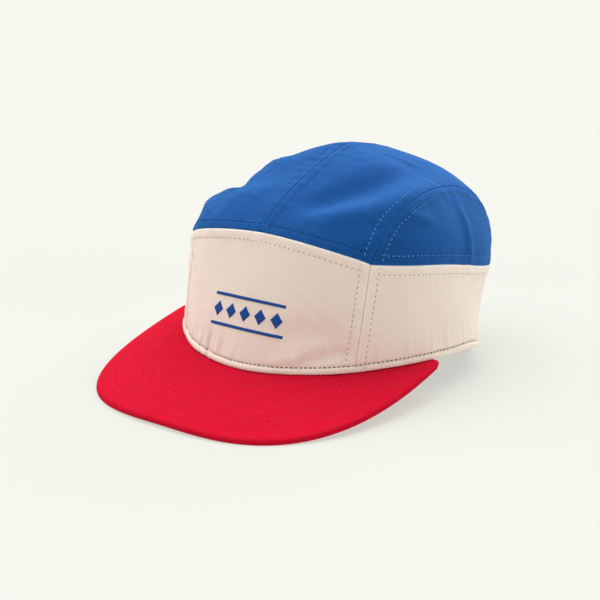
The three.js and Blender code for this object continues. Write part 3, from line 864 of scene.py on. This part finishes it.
def front_grid():
    columns = steps(FRONT_WIDTH, CELL)
    return lower_grid(columns, steps(CLIMB, CELL), lambda c: (-front_seam_angle(c), front_seam_angle(c)))


def side_lower_grid(side):
    arch = ARCH_TOP * np.sin(np.linspace(0.08, math.pi / 2, ARCH_ROWS))
    below_waist = 1 - SEAM_STEPS[::-1] / CLIMB
    between = np.linspace(ARCH_TOP, below_waist[0], 4)[1:-1]

    def ends(climb):
        return side * front_seam_angle(climb), side * (math.pi - arch_angle(np.array(climb)))

    return lower_grid(steps(LOWER_WIDTH, LOWER_CELL), np.concatenate([arch, between, below_waist]), ends)


def patch_grid(place_at, across, along, side):
    share, length = np.meshgrid(across, along)
    return mirrored(place_at(share, length), side)


build_panel("front_panel", front_grid(), beige_twill)
for label, side in SIDES:
    build_panel(f"side_lower_{label}", side_lower_grid(side), beige_twill)
    upper = patch_grid(side_upper_place, steps(UPPER_SIZE[0], CELL), steps(UPPER_SIZE[1], UPPER_CELL), side)
    build_panel(f"side_upper_{label}", upper, blue_twill)
    top = patch_grid(top_place, steps(TOP_SIZE[0], TOP_CELL), steps(TOP_SIZE[1], CELL), side)
    build_panel(f"top_panel_{label}", top, blue_twill)


# Topstitching

def stitched(points, normals, pitch=STITCH_PITCH, length=STITCH_LENGTH, hole=HOLE_HALF_SIZE):
    """Vertices, faces and material numbers of a row of stitches along a line on the cloth."""
    spans = np.linalg.norm(np.diff(points, axis=0), axis=-1)
    travelled = np.concatenate([[0], np.cumsum(spans)])
    count = int((travelled[-1] - length) / pitch) + 1
    if count < 1:
        return np.empty((0, 3)), np.empty((0, 4), int), np.empty(0, int)

    def at(distance, values):
        return np.stack([np.interp(distance, travelled, values[:, axis]) for axis in range(3)], -1)

    def axes_at(distance):
        """Place on the row, and the directions off the cloth, along the row and across it."""
        normal = unit(at(distance, normals))
        along = unit(at(distance + 0.2, points) - at(distance - 0.2, points))
        return at(distance, points), normal, along, np.cross(along, normal)

    rings, sides = 5, 6
    starts = (travelled[-1] - (count - 1) * pitch - length) / 2 + pitch * np.arange(count)
    shares = np.linspace(0, 1, rings)
    centre, normal, _, sideways = axes_at((starts[:, None] + shares * length).ravel())
    profile = np.tile(np.sqrt(np.clip(1 - (2 * shares - 1) ** 4, 0.02, 1)), count)[:, None]
    centre = centre + normal * (THREAD_RISE * profile - THREAD_SINK)
    turn = np.linspace(0, 2 * math.pi, sides, endpoint=False)[:, None, None]
    circle = np.cos(turn) * sideways + THREAD_FLATNESS * np.sin(turn) * normal
    tube = centre + circle * profile * THREAD_WIDTH / 2
    tube = tube.transpose(1, 0, 2).reshape(-1, 3)
    ring = np.arange(count * rings).reshape(count, rings)[:, :-1].ravel()
    low, high = ring * sides, (ring + 1) * sides
    faces = []
    for side in range(sides):
        following = (side + 1) % sides
        faces.append(np.stack([low + side, low + following, high + following, high + side], -1))
    faces = np.concatenate(faces)
    # A dark patch over each needle hole, painted shade
    ends = np.concatenate([starts - HOLE_OFFSET, starts + length + HOLE_OFFSET])
    centre, normal, along, sideways = axes_at(ends)
    centre = centre + HOLE_LIFT * normal
    corners = [(-1, -1), (1, -1), (1, 1), (-1, 1)]
    holes = np.stack([centre + hole[0] * x * along + hole[1] * y * sideways for x, y in corners], 1)
    hole_faces = np.arange(4 * len(ends)).reshape(-1, 4)
    numbers = np.repeat([0, 1], [len(faces), len(hole_faces)])
    return *joined([(tube, faces), (holes.reshape(-1, 3), hole_faces)]), numbers


def make_stitches(name, rows, materials):
    """One object from several rows of stitches."""
    numbers = np.concatenate([row[2] for row in rows])
    made = make_mesh(name, *joined(rows), materials, face_materials=numbers)


def beside(places, distance):
    """Chart places at a distance from a line of places, to the left of its direction."""
    along_across, along_back = crown_slopes(places, 0.004)
    normal = unit(np.cross(along_across, along_back))
    line = np.gradient(crown_point(places), axis=0)
    away = unit(np.cross(normal, line)) * distance
    jacobian = np.stack([along_across, along_back], -1)
    moves = np.stack([np.linalg.lstsq(j, a, rcond=None)[0] for j, a in zip(jacobian, away)])
    start = crown_point(places)
    for _ in range(4):
        reached = measure(crown_point(places + moves), start)[0]
        moves *= (abs(distance) / np.maximum(reached, 0.3))[:, None]
    return places + moves


def seam_row(name, seam):
    """The topstitched row that runs beside a seam on one panel."""
    line = SEAM_CHARTS[seam][1:-1]
    both_sides = [beside(line, side * ROW_DISTANCE) for side in (-1, 1)]
    places = max(both_sides, key=lambda row: inside(name, row).sum())
    keep = inside(name, places)
    base = crown_point(places)
    for other in panel_seams(name):
        limit = ROW_CLEARANCE if other != seam else ROW_DISTANCE * 0.8
        keep &= measure(base, SEAM_POINTS[other])[0] > limit
    kept = np.flatnonzero(keep)
    rows = []
    for run in np.split(kept, np.flatnonzero(np.diff(kept) > 1) + 1):
        if len(run) > 3:
            points, normals, _ = panel_face(name, places[run])
            rows.append(stitched(points, normals))
    return rows


def sew(panel, seams, materials, suffix="stitches"):
    """The rows beside those seams on one panel."""
    rows = sum((seam_row(panel, seam) for seam in seams), [])
    make_stitches(f"{panel}_{suffix}", rows, materials)


# Each sewing is a thread and the darker colour of the painted shade in its needle holes
beige_sewing = [beige_thread, needle_hole_shade]
pale_sewing = [pale_thread, blue_hole_shade]
red_sewing = [red_thread, red_hole_shade]
sew("front_panel", panel_seams("front_panel"), beige_sewing)
for label, _ in SIDES:
    lower, upper, top = f"side_lower_{label}", f"side_upper_{label}", f"top_panel_{label}"
    sew(lower, panel_seams(lower), beige_sewing)
    sew(upper, panel_seams(upper), pale_sewing)
    sew(top, [f"side_{label}"], pale_sewing, "side_stitches")
    sew(top, ["centre"], [blue_thread, blue_hole_shade], "centre_stitches")
    sew(top, [f"waist_{label}"], [navy_thread, blue_hole_shade], "waist_stitches")


def hem_row():
    """The row just above the rolled hem, panel by panel."""
    rows = []
    end = math.pi - ARCH_ANGLE * RADIANS
    seam = FRONT_SEAM_HEM_ANGLE * RADIANS
    spans = [("front_panel", -seam, seam), ("side_lower_left", seam, end), ("side_lower_right", -seam, -end)]
    for name, first, last in spans:
        places = wall_place(np.linspace(first, last, 260)[1:-1], HEM_ROW_HEIGHT)
        points, normals, _ = panel_face(name, places)
        rows.append(stitched(points, normals, HEM_STITCH_PITCH, HEM_STITCH_LENGTH, HEM_HOLE_HALF_SIZE))
    return rows


make_stitches("hem_stitches", hem_row(), [beige_thread, hem_hole_shade])


# Visor

VISOR_HALF_WIDTH = 95.3
VISOR_END = 28.7
VISOR_REACH = 132.1
VISOR_POWER = 2.8
VISOR_SLOPE = 0.325
VISOR_ARCH_RADIUS = 453
VISOR_THICKNESS = 3
VISOR_EDGE = 1.3
VISOR_TUCK_LENGTH = 7.7
VISOR_END_WIDTH = 4.1
VISOR_BOW = 0.022
VISOR_TUCK_DEPTH = 0.5
VISOR_EDGE_LIMIT = 0.3
FIRST_ROW = 9.3
ROW_SPACING = 5.4
ROW_COUNT = 6
VISOR_FURROW = 0.22
VISOR_FURROW_WIDTH = 0.7
VISOR_PUCKER = 0.05
VISOR_PUCKER_SPREAD = 2.5
VISOR_PUCKER_WAVES = (4.7, 7.9, 12.3)
VISOR_WELT = 0.18
VISOR_WELT_FROM_RIM = 2.4
VISOR_WELT_WIDTH = 1.6
VISOR_DENTS = (0.12, 0.1)
VISOR_TOP_SEED = 70
VISOR_UNDER_SEED = 80
UNDER_RELIEF = 0.6
VISOR_COLUMNS = 221
VISOR_ROWS = 62
VISOR_EDGE_ROWS = 7


def hem_across(forward):
    return HEM_SIDE * (1 - (forward / HEM_FRONT) ** HEM_POWER) ** (1 / HEM_POWER)


def visor_outer(turn):
    along = np.abs(np.cos(turn)) ** (2 / VISOR_POWER)
    across = np.abs(np.sin(turn)) ** (2 / VISOR_POWER)
    y = -VISOR_END - VISOR_REACH * along
    tuck = smooth(y, -VISOR_END - VISOR_TUCK_LENGTH, -VISOR_END) ** 2
    x = mix(VISOR_HALF_WIDTH * across, hem_across(VISOR_END) + VISOR_END_WIDTH, tuck) * np.sign(turn)
    z = -HEM_FRONT_DROP + VISOR_SLOPE * (HEM_FRONT + y) - x**2 / (2 * VISOR_ARCH_RADIUS)
    return np.stack([x, y, z], -1)


def visor_top(turn, share):
    end_angle = math.atan2(hem_across(VISOR_END), VISOR_END)
    inner = hem_point(turn / (math.pi / 2) * end_angle)
    inward = np.hypot(inner[..., 0], inner[..., 1])[..., None]
    inner = inner * np.concatenate([1 - CLOTH / inward, 1 - CLOTH / inward, 0 * inward + 1], -1)
    inner[..., 2] -= GAP
    outer = visor_outer(turn)
    bow = VISOR_BOW * np.linalg.norm(inner - outer, axis=-1) * 4 * share * (1 - share)
    outer[..., 2] = np.minimum(outer[..., 2], inner[..., 2] - VISOR_TUCK_DEPTH)
    point = mix(inner, outer, share[..., None])
    point[..., 2] += bow
    return point


VISOR_RIM = visor_outer(np.linspace(-math.pi / 2, math.pi / 2, 500))


def visor_relief(point, seed):
    """Furrows of the stitched rows with soft quilting between them, and the turned edge."""
    distance, along = measure(point, VISOR_RIM)
    row = (distance - FIRST_ROW) / ROW_SPACING
    nearest = np.clip(np.round(row), 0, ROW_COUNT - 1)
    from_row = np.abs(row - nearest) * ROW_SPACING
    furrow = -VISOR_FURROW * hill(from_row, 0, VISOR_FURROW_WIDTH)
    pucker = VISOR_PUCKER * waves(along, VISOR_PUCKER_WAVES, seed) * hill(from_row, 0, VISOR_PUCKER_SPREAD)
    welt = VISOR_WELT * hill(distance, VISOR_WELT_FROM_RIM, VISOR_WELT_WIDTH)
    dents = VISOR_DENTS[0] * waves(point[..., 0] + point[..., 1], (47, 31), seed + 1)
    dents += VISOR_DENTS[1] * waves(point[..., 0] - 0.7 * point[..., 1], (39, 22), seed + 2)
    return furrow + pucker + welt + dents * smooth(distance, 0, 6)


def visor_grid():
    """Turns round the visor, shares from its inner edge to its rim, and drops that round the rim."""
    even = np.linspace(-1, 1, VISOR_COLUMNS)
    turn = np.sign(even) * np.abs(even) ** 0.9 * math.pi / 2
    length = np.linalg.norm(visor_top(turn, 0 * turn) - visor_top(turn, 0 * turn + 1), axis=-1)
    edge = np.minimum(VISOR_EDGE / length, VISOR_EDGE_LIMIT)
    rounding = np.cos(np.linspace(math.pi / 2, 0, VISOR_EDGE_ROWS)[1:])[:, None]
    shares = np.linspace(0, 1, VISOR_ROWS)[:, None]
    share = np.concatenate([shares * (1 - edge), 1 - edge * (1 - rounding)])
    drop = np.concatenate([0 * shares, 1 - np.sqrt(1 - rounding**2)]) * VISOR_THICKNESS / 2
    return np.broadcast_to(turn, share.shape), share, drop


def build_visor():
    turn, share, drop = visor_grid()
    plain = visor_top(turn, share)
    flat = plain.reshape(-1, 3)
    over = visor_relief(flat, VISOR_TOP_SEED).reshape(share.shape)
    under = visor_relief(flat, VISOR_UNDER_SEED).reshape(share.shape)
    top, below = plain.copy(), plain.copy()
    top[..., 2] += over - drop
    below[..., 2] += drop - VISOR_THICKNESS - np.maximum(UNDER_RELIEF * under, 0) * (share < 1)
    make_shell("visor", top, below, red_twill, flat[:, :2])


def visor_rows(below):
    """Stitched rows that follow the visor's rim, over it or under it."""
    turns = np.linspace(-math.pi / 2, math.pi / 2, 361)[2:-2]
    shares = np.linspace(0.02, 0.99, 90)
    turn, share = np.meshgrid(turns, shares, indexing="ij")
    plain = visor_top(turn, share)
    distance = measure(plain.reshape(-1, 3), VISOR_RIM)[0].reshape(turn.shape)
    rows = []
    for index in range(ROW_COUNT):
        wanted = FIRST_ROW + index * ROW_SPACING
        reached = distance[:, 0] > wanted
        found = np.array([np.interp(-wanted, -line, shares) for line in distance])
        places = visor_top(turns[reached], found[reached])
        slope_out = visor_top(turns[reached], found[reached] + 0.01) - places
        slope_round = np.gradient(places, axis=0)
        normal = unit(np.cross(slope_out, slope_round))
        normal *= np.sign(normal[:, 2:])
        if below:
            places[:, 2] += visor_relief(places, VISOR_UNDER_SEED) * UNDER_RELIEF - VISOR_THICKNESS
            normal = -normal
        else:
            places[:, 2] += visor_relief(places, VISOR_TOP_SEED)
        rows.append(stitched(places, normal))
    return rows


build_visor()
make_stitches("visor_top_stitches", visor_rows(False), red_sewing)
make_stitches("visor_under_stitches", visor_rows(True), red_sewing)


# Sweatband, rear strap and its buckle

BAND_HEIGHT = 31
BAND_THICKNESS = 1.2
BAND_LIFT = 1
BAND_GAP = 0.7
BAND_RIPPLE = 0.2
BAND_WAVES = (31, 19, 47)
BAND_ROW_HEIGHTS = (4.5, 28.5)
STRAP_WIDTH = 20
STRAP_THICKNESS = 1.4
STRAP_LIFT = 4.5
STRAP_TAIL_ANGLE = 9
STRAP_ROW_INSET = 2.2
STRAP_STITCH_LENGTH = 2
STRAP_STITCH_PITCH = 2.6
STRAP_ROW_BREAK = 0.09
BUCKLE_BAR = 2.6
BUCKLE_SLOT = 7.4
BUCKLE_THICKNESS = 1.6
BUCKLE_RIM = 2.8
BUCKLE_CORNER = 2.5
BUCKLE_SLOT_CORNER = 0.7
BUCKLE_BEVEL = 0.45
STRAP_MIDDLE = CLOTH + GAP + STRAP_THICKNESS / 2
BUCKLE_STEP = (BUCKLE_THICKNESS + STRAP_THICKNESS) / 2 + GAP


def rounded_wall(across, rows, height, point_at, thickness):
    """A band with rounded long edges. point_at gives the place for a share along, a height and a depth."""
    margin = thickness / 2
    edge = margin * (1 - np.cos(np.linspace(0, math.pi / 2, 5)[:-1]))
    heights = np.concatenate([edge, np.linspace(margin, height - margin, rows), height - edge[::-1]])
    inset = np.clip((margin - np.minimum(heights, height - heights)) / margin, 0, 1)
    half = margin * np.sqrt(np.clip(1 - inset**2, 0.02, 1))
    share, up = np.meshgrid(across, heights)
    half = np.broadcast_to(half[:, None], share.shape)
    return point_at(share, up, -half), point_at(share, up, half)


def off_crown(places, inward):
    """Points at a depth inside the plain crown."""
    flat = places.reshape(-1, 2)
    inward = np.broadcast_to(inward, places.shape[:-1]).reshape(-1, 1)
    return (crown_point(flat) - crown_normal(flat) * inward).reshape(places.shape[:-1] + (3,))


def build_band():
    end = math.pi - (ARCH_ANGLE + STRAP_TAIL_ANGLE) * RADIANS - 2 * GAP / HEM_BACK - 0.02

    def point_at(share, height, depth):
        angle = mix(-end, end, share)
        ripple = BAND_RIPPLE * waves(angle * HEM_SIDE, BAND_WAVES, 90) * smooth(height, 4, BAND_HEIGHT)
        inward = CLOTH + BAND_GAP + BAND_THICKNESS / 2 - np.minimum(ripple, BAND_RIPPLE / 2) + depth
        return off_crown(wall_place(angle, BAND_LIFT + height), inward)

    outer, inner = rounded_wall(np.linspace(0, 1, 260), 22, BAND_HEIGHT, point_at, BAND_THICKNESS)
    weave = flattened(outer).reshape(-1, 2)
    make_shell("sweatband", outer, inner, band_cotton, weave)
    share = np.linspace(0.01, 0.99, 400)
    rows = []
    for height in BAND_ROW_HEIGHTS:
        points = point_at(share, 0 * share + height, 0 * share + BAND_THICKNESS / 2)
        normals = -crown_normal(wall_place(mix(-end, end, share), BAND_LIFT + height))
        rows.append(stitched(points, normals))
    make_stitches("sweatband_stitches", rows, beige_sewing)


def rear_point(aside, height, depth):
    """Rear of the cap, by distance from the centre back, height over the hem and depth inside the cloth."""
    side = np.where(aside >= 0, 1, -1)
    return off_crown(wall_place(side * (math.pi - np.abs(aside) / HEM_BACK), height), depth)


def strap_depth(aside):
    forward = 1 - smooth(np.abs(aside), BUCKLE_BAR / 2 + 0.5, BUCKLE_BAR / 2 + BUCKLE_SLOT - 0.5)
    return STRAP_MIDDLE - 2 * BUCKLE_STEP * forward


def build_strap():
    half_length = (ARCH_ANGLE + STRAP_TAIL_ANGLE) * RADIANS * HEM_BACK

    def point_at(share, height, depth):
        aside = mix(-half_length, half_length, share)
        return rear_point(aside, STRAP_LIFT + height, strap_depth(aside) + depth)

    outer, inner = rounded_wall(np.linspace(0, 1, 150), 18, STRAP_WIDTH, point_at, STRAP_THICKNESS)
    weave = flattened(outer).reshape(-1, 2)
    make_shell("rear_strap", outer, inner, strap_twill, weave)
    share = np.linspace(0.02, 0.98, 400)
    rows = []
    for height in (STRAP_ROW_INSET, STRAP_WIDTH - STRAP_ROW_INSET):
        for part in (share[share < 0.5 - STRAP_ROW_BREAK], share[share > 0.5 + STRAP_ROW_BREAK]):
            points = point_at(part, 0 * part + height, 0 * part - STRAP_THICKNESS / 2)
            inner_points = point_at(part, 0 * part + height, 0 * part + STRAP_THICKNESS / 2)
            normals = unit(points - inner_points)
            rows.append(stitched(points, normals, STRAP_STITCH_PITCH, STRAP_STITCH_LENGTH))
    make_stitches("rear_strap_stitches", rows, beige_sewing)


def brushed_metal():
    material, tree, surface = shader("buckle_metal", {"Specular IOR Level": 0.18, "Metallic": 1})
    place = object_place(tree)
    dull = noise(tree, place, 4)
    tinted = blend_colours(tree, dull, (0.52, 0.5, 0.46, 1), (0.7, 0.68, 0.64, 1))
    brushed = noise(tree, place, 1.2, 3, stretch=(0.15, 0.15, 4))
    rough = math_node(tree, "ADD", scaled(tree, brushed, 0.25), 0.2)
    settle(tree, surface, {"Base Color": tinted, "Roughness": rough})
    return material


def rounded_box(half_width, half_height, corner, clockwise=False):
    """Corner points of a rounded rectangle, for a filled curve."""
    points = []
    for quarter, (x, y) in enumerate([(1, 1), (-1, 1), (-1, -1), (1, -1)]):
        for turn in np.linspace(quarter, quarter + 1, 7) * math.pi / 2:
            points.append((x * (half_width - corner) + corner * math.cos(turn),
                           y * (half_height - corner) + corner * math.sin(turn)))
    return points[::-1] if clockwise else points


def build_buckle():
    """Three-bar slide with softened edges, bent to the strap's curve."""
    slot_height = STRAP_WIDTH / 2 + GAP * 2
    reach = BUCKLE_BAR / 2 + BUCKLE_SLOT + BUCKLE_BAR
    middle = BUCKLE_BAR / 2 + BUCKLE_SLOT / 2
    outline = rounded_box(reach, slot_height + BUCKLE_RIM, BUCKLE_CORNER)
    slot = rounded_box(BUCKLE_SLOT / 2, slot_height, BUCKLE_SLOT_CORNER, clockwise=True)
    slots = [[(x + side * middle, y) for x, y in slot] for side in (-1, 1)]
    curve = bpy.data.curves.new("buckle_outline", "CURVE")
    curve.dimensions = "2D"
    curve.fill_mode = "BOTH"
    curve.extrude = BUCKLE_THICKNESS / 2 - BUCKLE_BEVEL
    curve.bevel_depth = BUCKLE_BEVEL
    curve.bevel_resolution = 3
    curve.offset = -BUCKLE_BEVEL
    for points in (outline, *slots):
        line = curve.splines.new("POLY")
        line.points.add(len(points) - 1)
        line.points.foreach_set("co", np.array([(x, y, 0, 1) for x, y in points]).ravel())
        line.use_cyclic_u = True
    holder = add_object("buckle_outline", curve)
    bpy.context.view_layer.update()
    shape = holder.to_mesh()
    points = np.empty(len(shape.vertices) * 3)
    shape.vertices.foreach_get("co", points)
    points = points.reshape(-1, 3)
    faces = [tuple(face.vertices) for face in shape.polygons]
    holder.to_mesh_clear()
    bpy.data.objects.remove(holder)
    bent = rear_point(-points[:, 0], STRAP_LIFT + STRAP_WIDTH / 2 + points[:, 1],
                      STRAP_MIDDLE - BUCKLE_STEP - points[:, 2])
    made = make_mesh("strap_buckle_slide", bent, faces, [brushed_metal()])
    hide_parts("strap_buckle")


build_band()
build_strap()
build_buckle()


# Embroidered ornament on the front panel: two bars with a row of lozenges between them

ORNAMENT_HALF_WIDTH = 27.5
ORNAMENT_MIDDLE = 31
ORNAMENT_BAR_OFFSET = 8.7
ORNAMENT_BAR_WIDTH = 1.8
LOZENGE_COUNT = 5
LOZENGE_HALF_HEIGHT = 4.6
LOZENGE_HALF_WIDTH = 4
LOZENGE_INSET = 1
SATIN_RISE = 0.55
SATIN_RIDGE = 0.04
SATIN_PITCH = 0.55
SATIN_ROOT = 0.3
PATTERN_RADIUS = 330


def satin_pad(centre_x, centre_y, half_width, half_height, profile):
    """A raised pad of satin stitches on the front panel. profile gives its half height across its width."""
    columns, rows = 41 if half_width == LOZENGE_HALF_WIDTH else 161, 9
    across, up = np.meshgrid(np.linspace(-1, 1, columns), np.linspace(-1, 1, rows))
    x, y = centre_x + half_width * across, centre_y + half_height * profile(across) * up
    angle = x / HEM_FRONT
    hem_rise = hem_point(angle)[..., 2] - hem_point(0 * angle)[..., 2]
    places = wall_place(angle, y - hem_rise - x**2 / (2 * PATTERN_RADIUS))
    face, normal, _ = panel_face("front_panel", places.reshape(-1, 2))
    ridge = SATIN_RIDGE * np.cos(across * half_width * 2 * math.pi / SATIN_PITCH)
    rounding = np.sqrt(np.clip(1 - up**4, 0, 1)) * np.sqrt(np.clip(6 * (1 - np.abs(across)), 0, 1))
    rise = (SATIN_RISE + ridge) * rounding + 0.02
    outer = (face + normal * rise.reshape(-1, 1)).reshape(rows, columns, 3)
    inner = (face - normal * SATIN_ROOT).reshape(rows, columns, 3)
    return closed_shell(outer, inner)


def build_ornament():
    parts = []
    for side in (-1, 1):
        middle = ORNAMENT_MIDDLE + side * ORNAMENT_BAR_OFFSET
        parts.append(satin_pad(0, middle, ORNAMENT_HALF_WIDTH, ORNAMENT_BAR_WIDTH / 2, np.ones_like))
    reach = ORNAMENT_HALF_WIDTH - LOZENGE_HALF_WIDTH - LOZENGE_INSET
    for centre in np.linspace(-reach, reach, LOZENGE_COUNT):
        parts.append(satin_pad(centre, ORNAMENT_MIDDLE, LOZENGE_HALF_WIDTH, LOZENGE_HALF_HEIGHT,
                               lambda across: np.maximum(1 - np.abs(across), 0.03)))
    made = make_mesh("front_embroidery", *joined(parts), [blue_embroidery])


build_ornament()


# Camera, floor and light

CAMERA_AZIMUTH = 35.311
CAMERA_ELEVATION = 17.052
CAMERA_ROLL = 0.382
CAMERA_DISTANCE = 748.5
CAMERA_AIM = (-13.5, 12.8, 32.34)
CAMERA_LENS = 71.7


def direction(azimuth, elevation):
    """From the object towards a viewer. Azimuth 0 stands before the visor, and 90 at the wearer's left."""
    a, e = azimuth * RADIANS, elevation * RADIANS
    return Vector((math.sin(a) * math.cos(e), -math.cos(a) * math.cos(e), math.sin(e)))


def face_along(made, back, roll=0.0):
    """Turn a camera or lamp to look from the given direction towards the object."""
    made.rotation_mode = "QUATERNION"
    turn = Quaternion((0, 0, 1), roll * RADIANS)
    made.rotation_quaternion = (-back).to_track_quat("-Z", "Y") @ turn


def build_camera():
    data = bpy.data.cameras.new("camera")
    data.lens = CAMERA_LENS
    data.sensor_width = 36
    data.clip_start, data.clip_end = 0.05, 100
    camera = add_object("camera", data)
    back = direction(CAMERA_AZIMUTH, CAMERA_ELEVATION)
    camera.location = MM * (Vector(CAMERA_AIM) + CAMERA_DISTANCE * back)
    face_along(camera, back, CAMERA_ROLL)
    bpy.context.scene.camera = camera


FLOOR_COLOUR = (0.921, 0.93, 0.863)
FLOOR_PAPER = 0.24
FLOOR_GLOW = 0.58
FLOOR_REACH = 40


def build_floor():
    """Pale paper, part of whose brightness is its own glow."""
    mesh = bpy.data.meshes.new("floor")
    corners = [(-1, -1), (1, -1), (1, 1), (-1, 1)]
    mesh.from_pydata([(x * FLOOR_REACH, y * FLOOR_REACH, 0) for x, y in corners], [], [(0, 1, 2, 3)])
    floor = add_object("floor", mesh)
    paper, _, _ = shader("floor_paper", {
        "Specular IOR Level": 0,
        "Roughness": 0.95,
        "Base Color": shade(FLOOR_COLOUR, FLOOR_PAPER),
        "Emission Color": shade(FLOOR_COLOUR, 1),
        "Emission Strength": FLOOR_GLOW,
    })
    mesh.materials.append(paper)


# Azimuth, elevation and the angle across, which softens its shadows, in degrees
Lamp = namedtuple("Lamp", "name azimuth elevation strength angle")
LAMPS = [
    Lamp("left", -85, 58, 3.3, 65),
    Lamp("front", -10, 12, 0.7, 40),
    Lamp("right", 90, 14, 1.3, 40),
    Lamp("behind", 180, 45, 3.1, 60),
]
SKY_STRENGTH = 0.04


def build_light():
    world = bpy.data.worlds.new("studio")
    world.use_nodes = True
    sky = world.node_tree.nodes["Background"]
    sky.inputs["Color"].default_value = (1, 1, 1, 1)
    sky.inputs["Strength"].default_value = SKY_STRENGTH
    bpy.context.scene.world = world
    for lamp in LAMPS:
        data = bpy.data.lights.new(lamp.name, "SUN")
        data.energy = lamp.strength
        data.angle = lamp.angle * RADIANS
        face_along(add_object(lamp.name, data), direction(lamp.azimuth, lamp.elevation))
    bpy.context.scene.view_settings.view_transform = "Standard"


build_camera()
build_floor()
build_light()
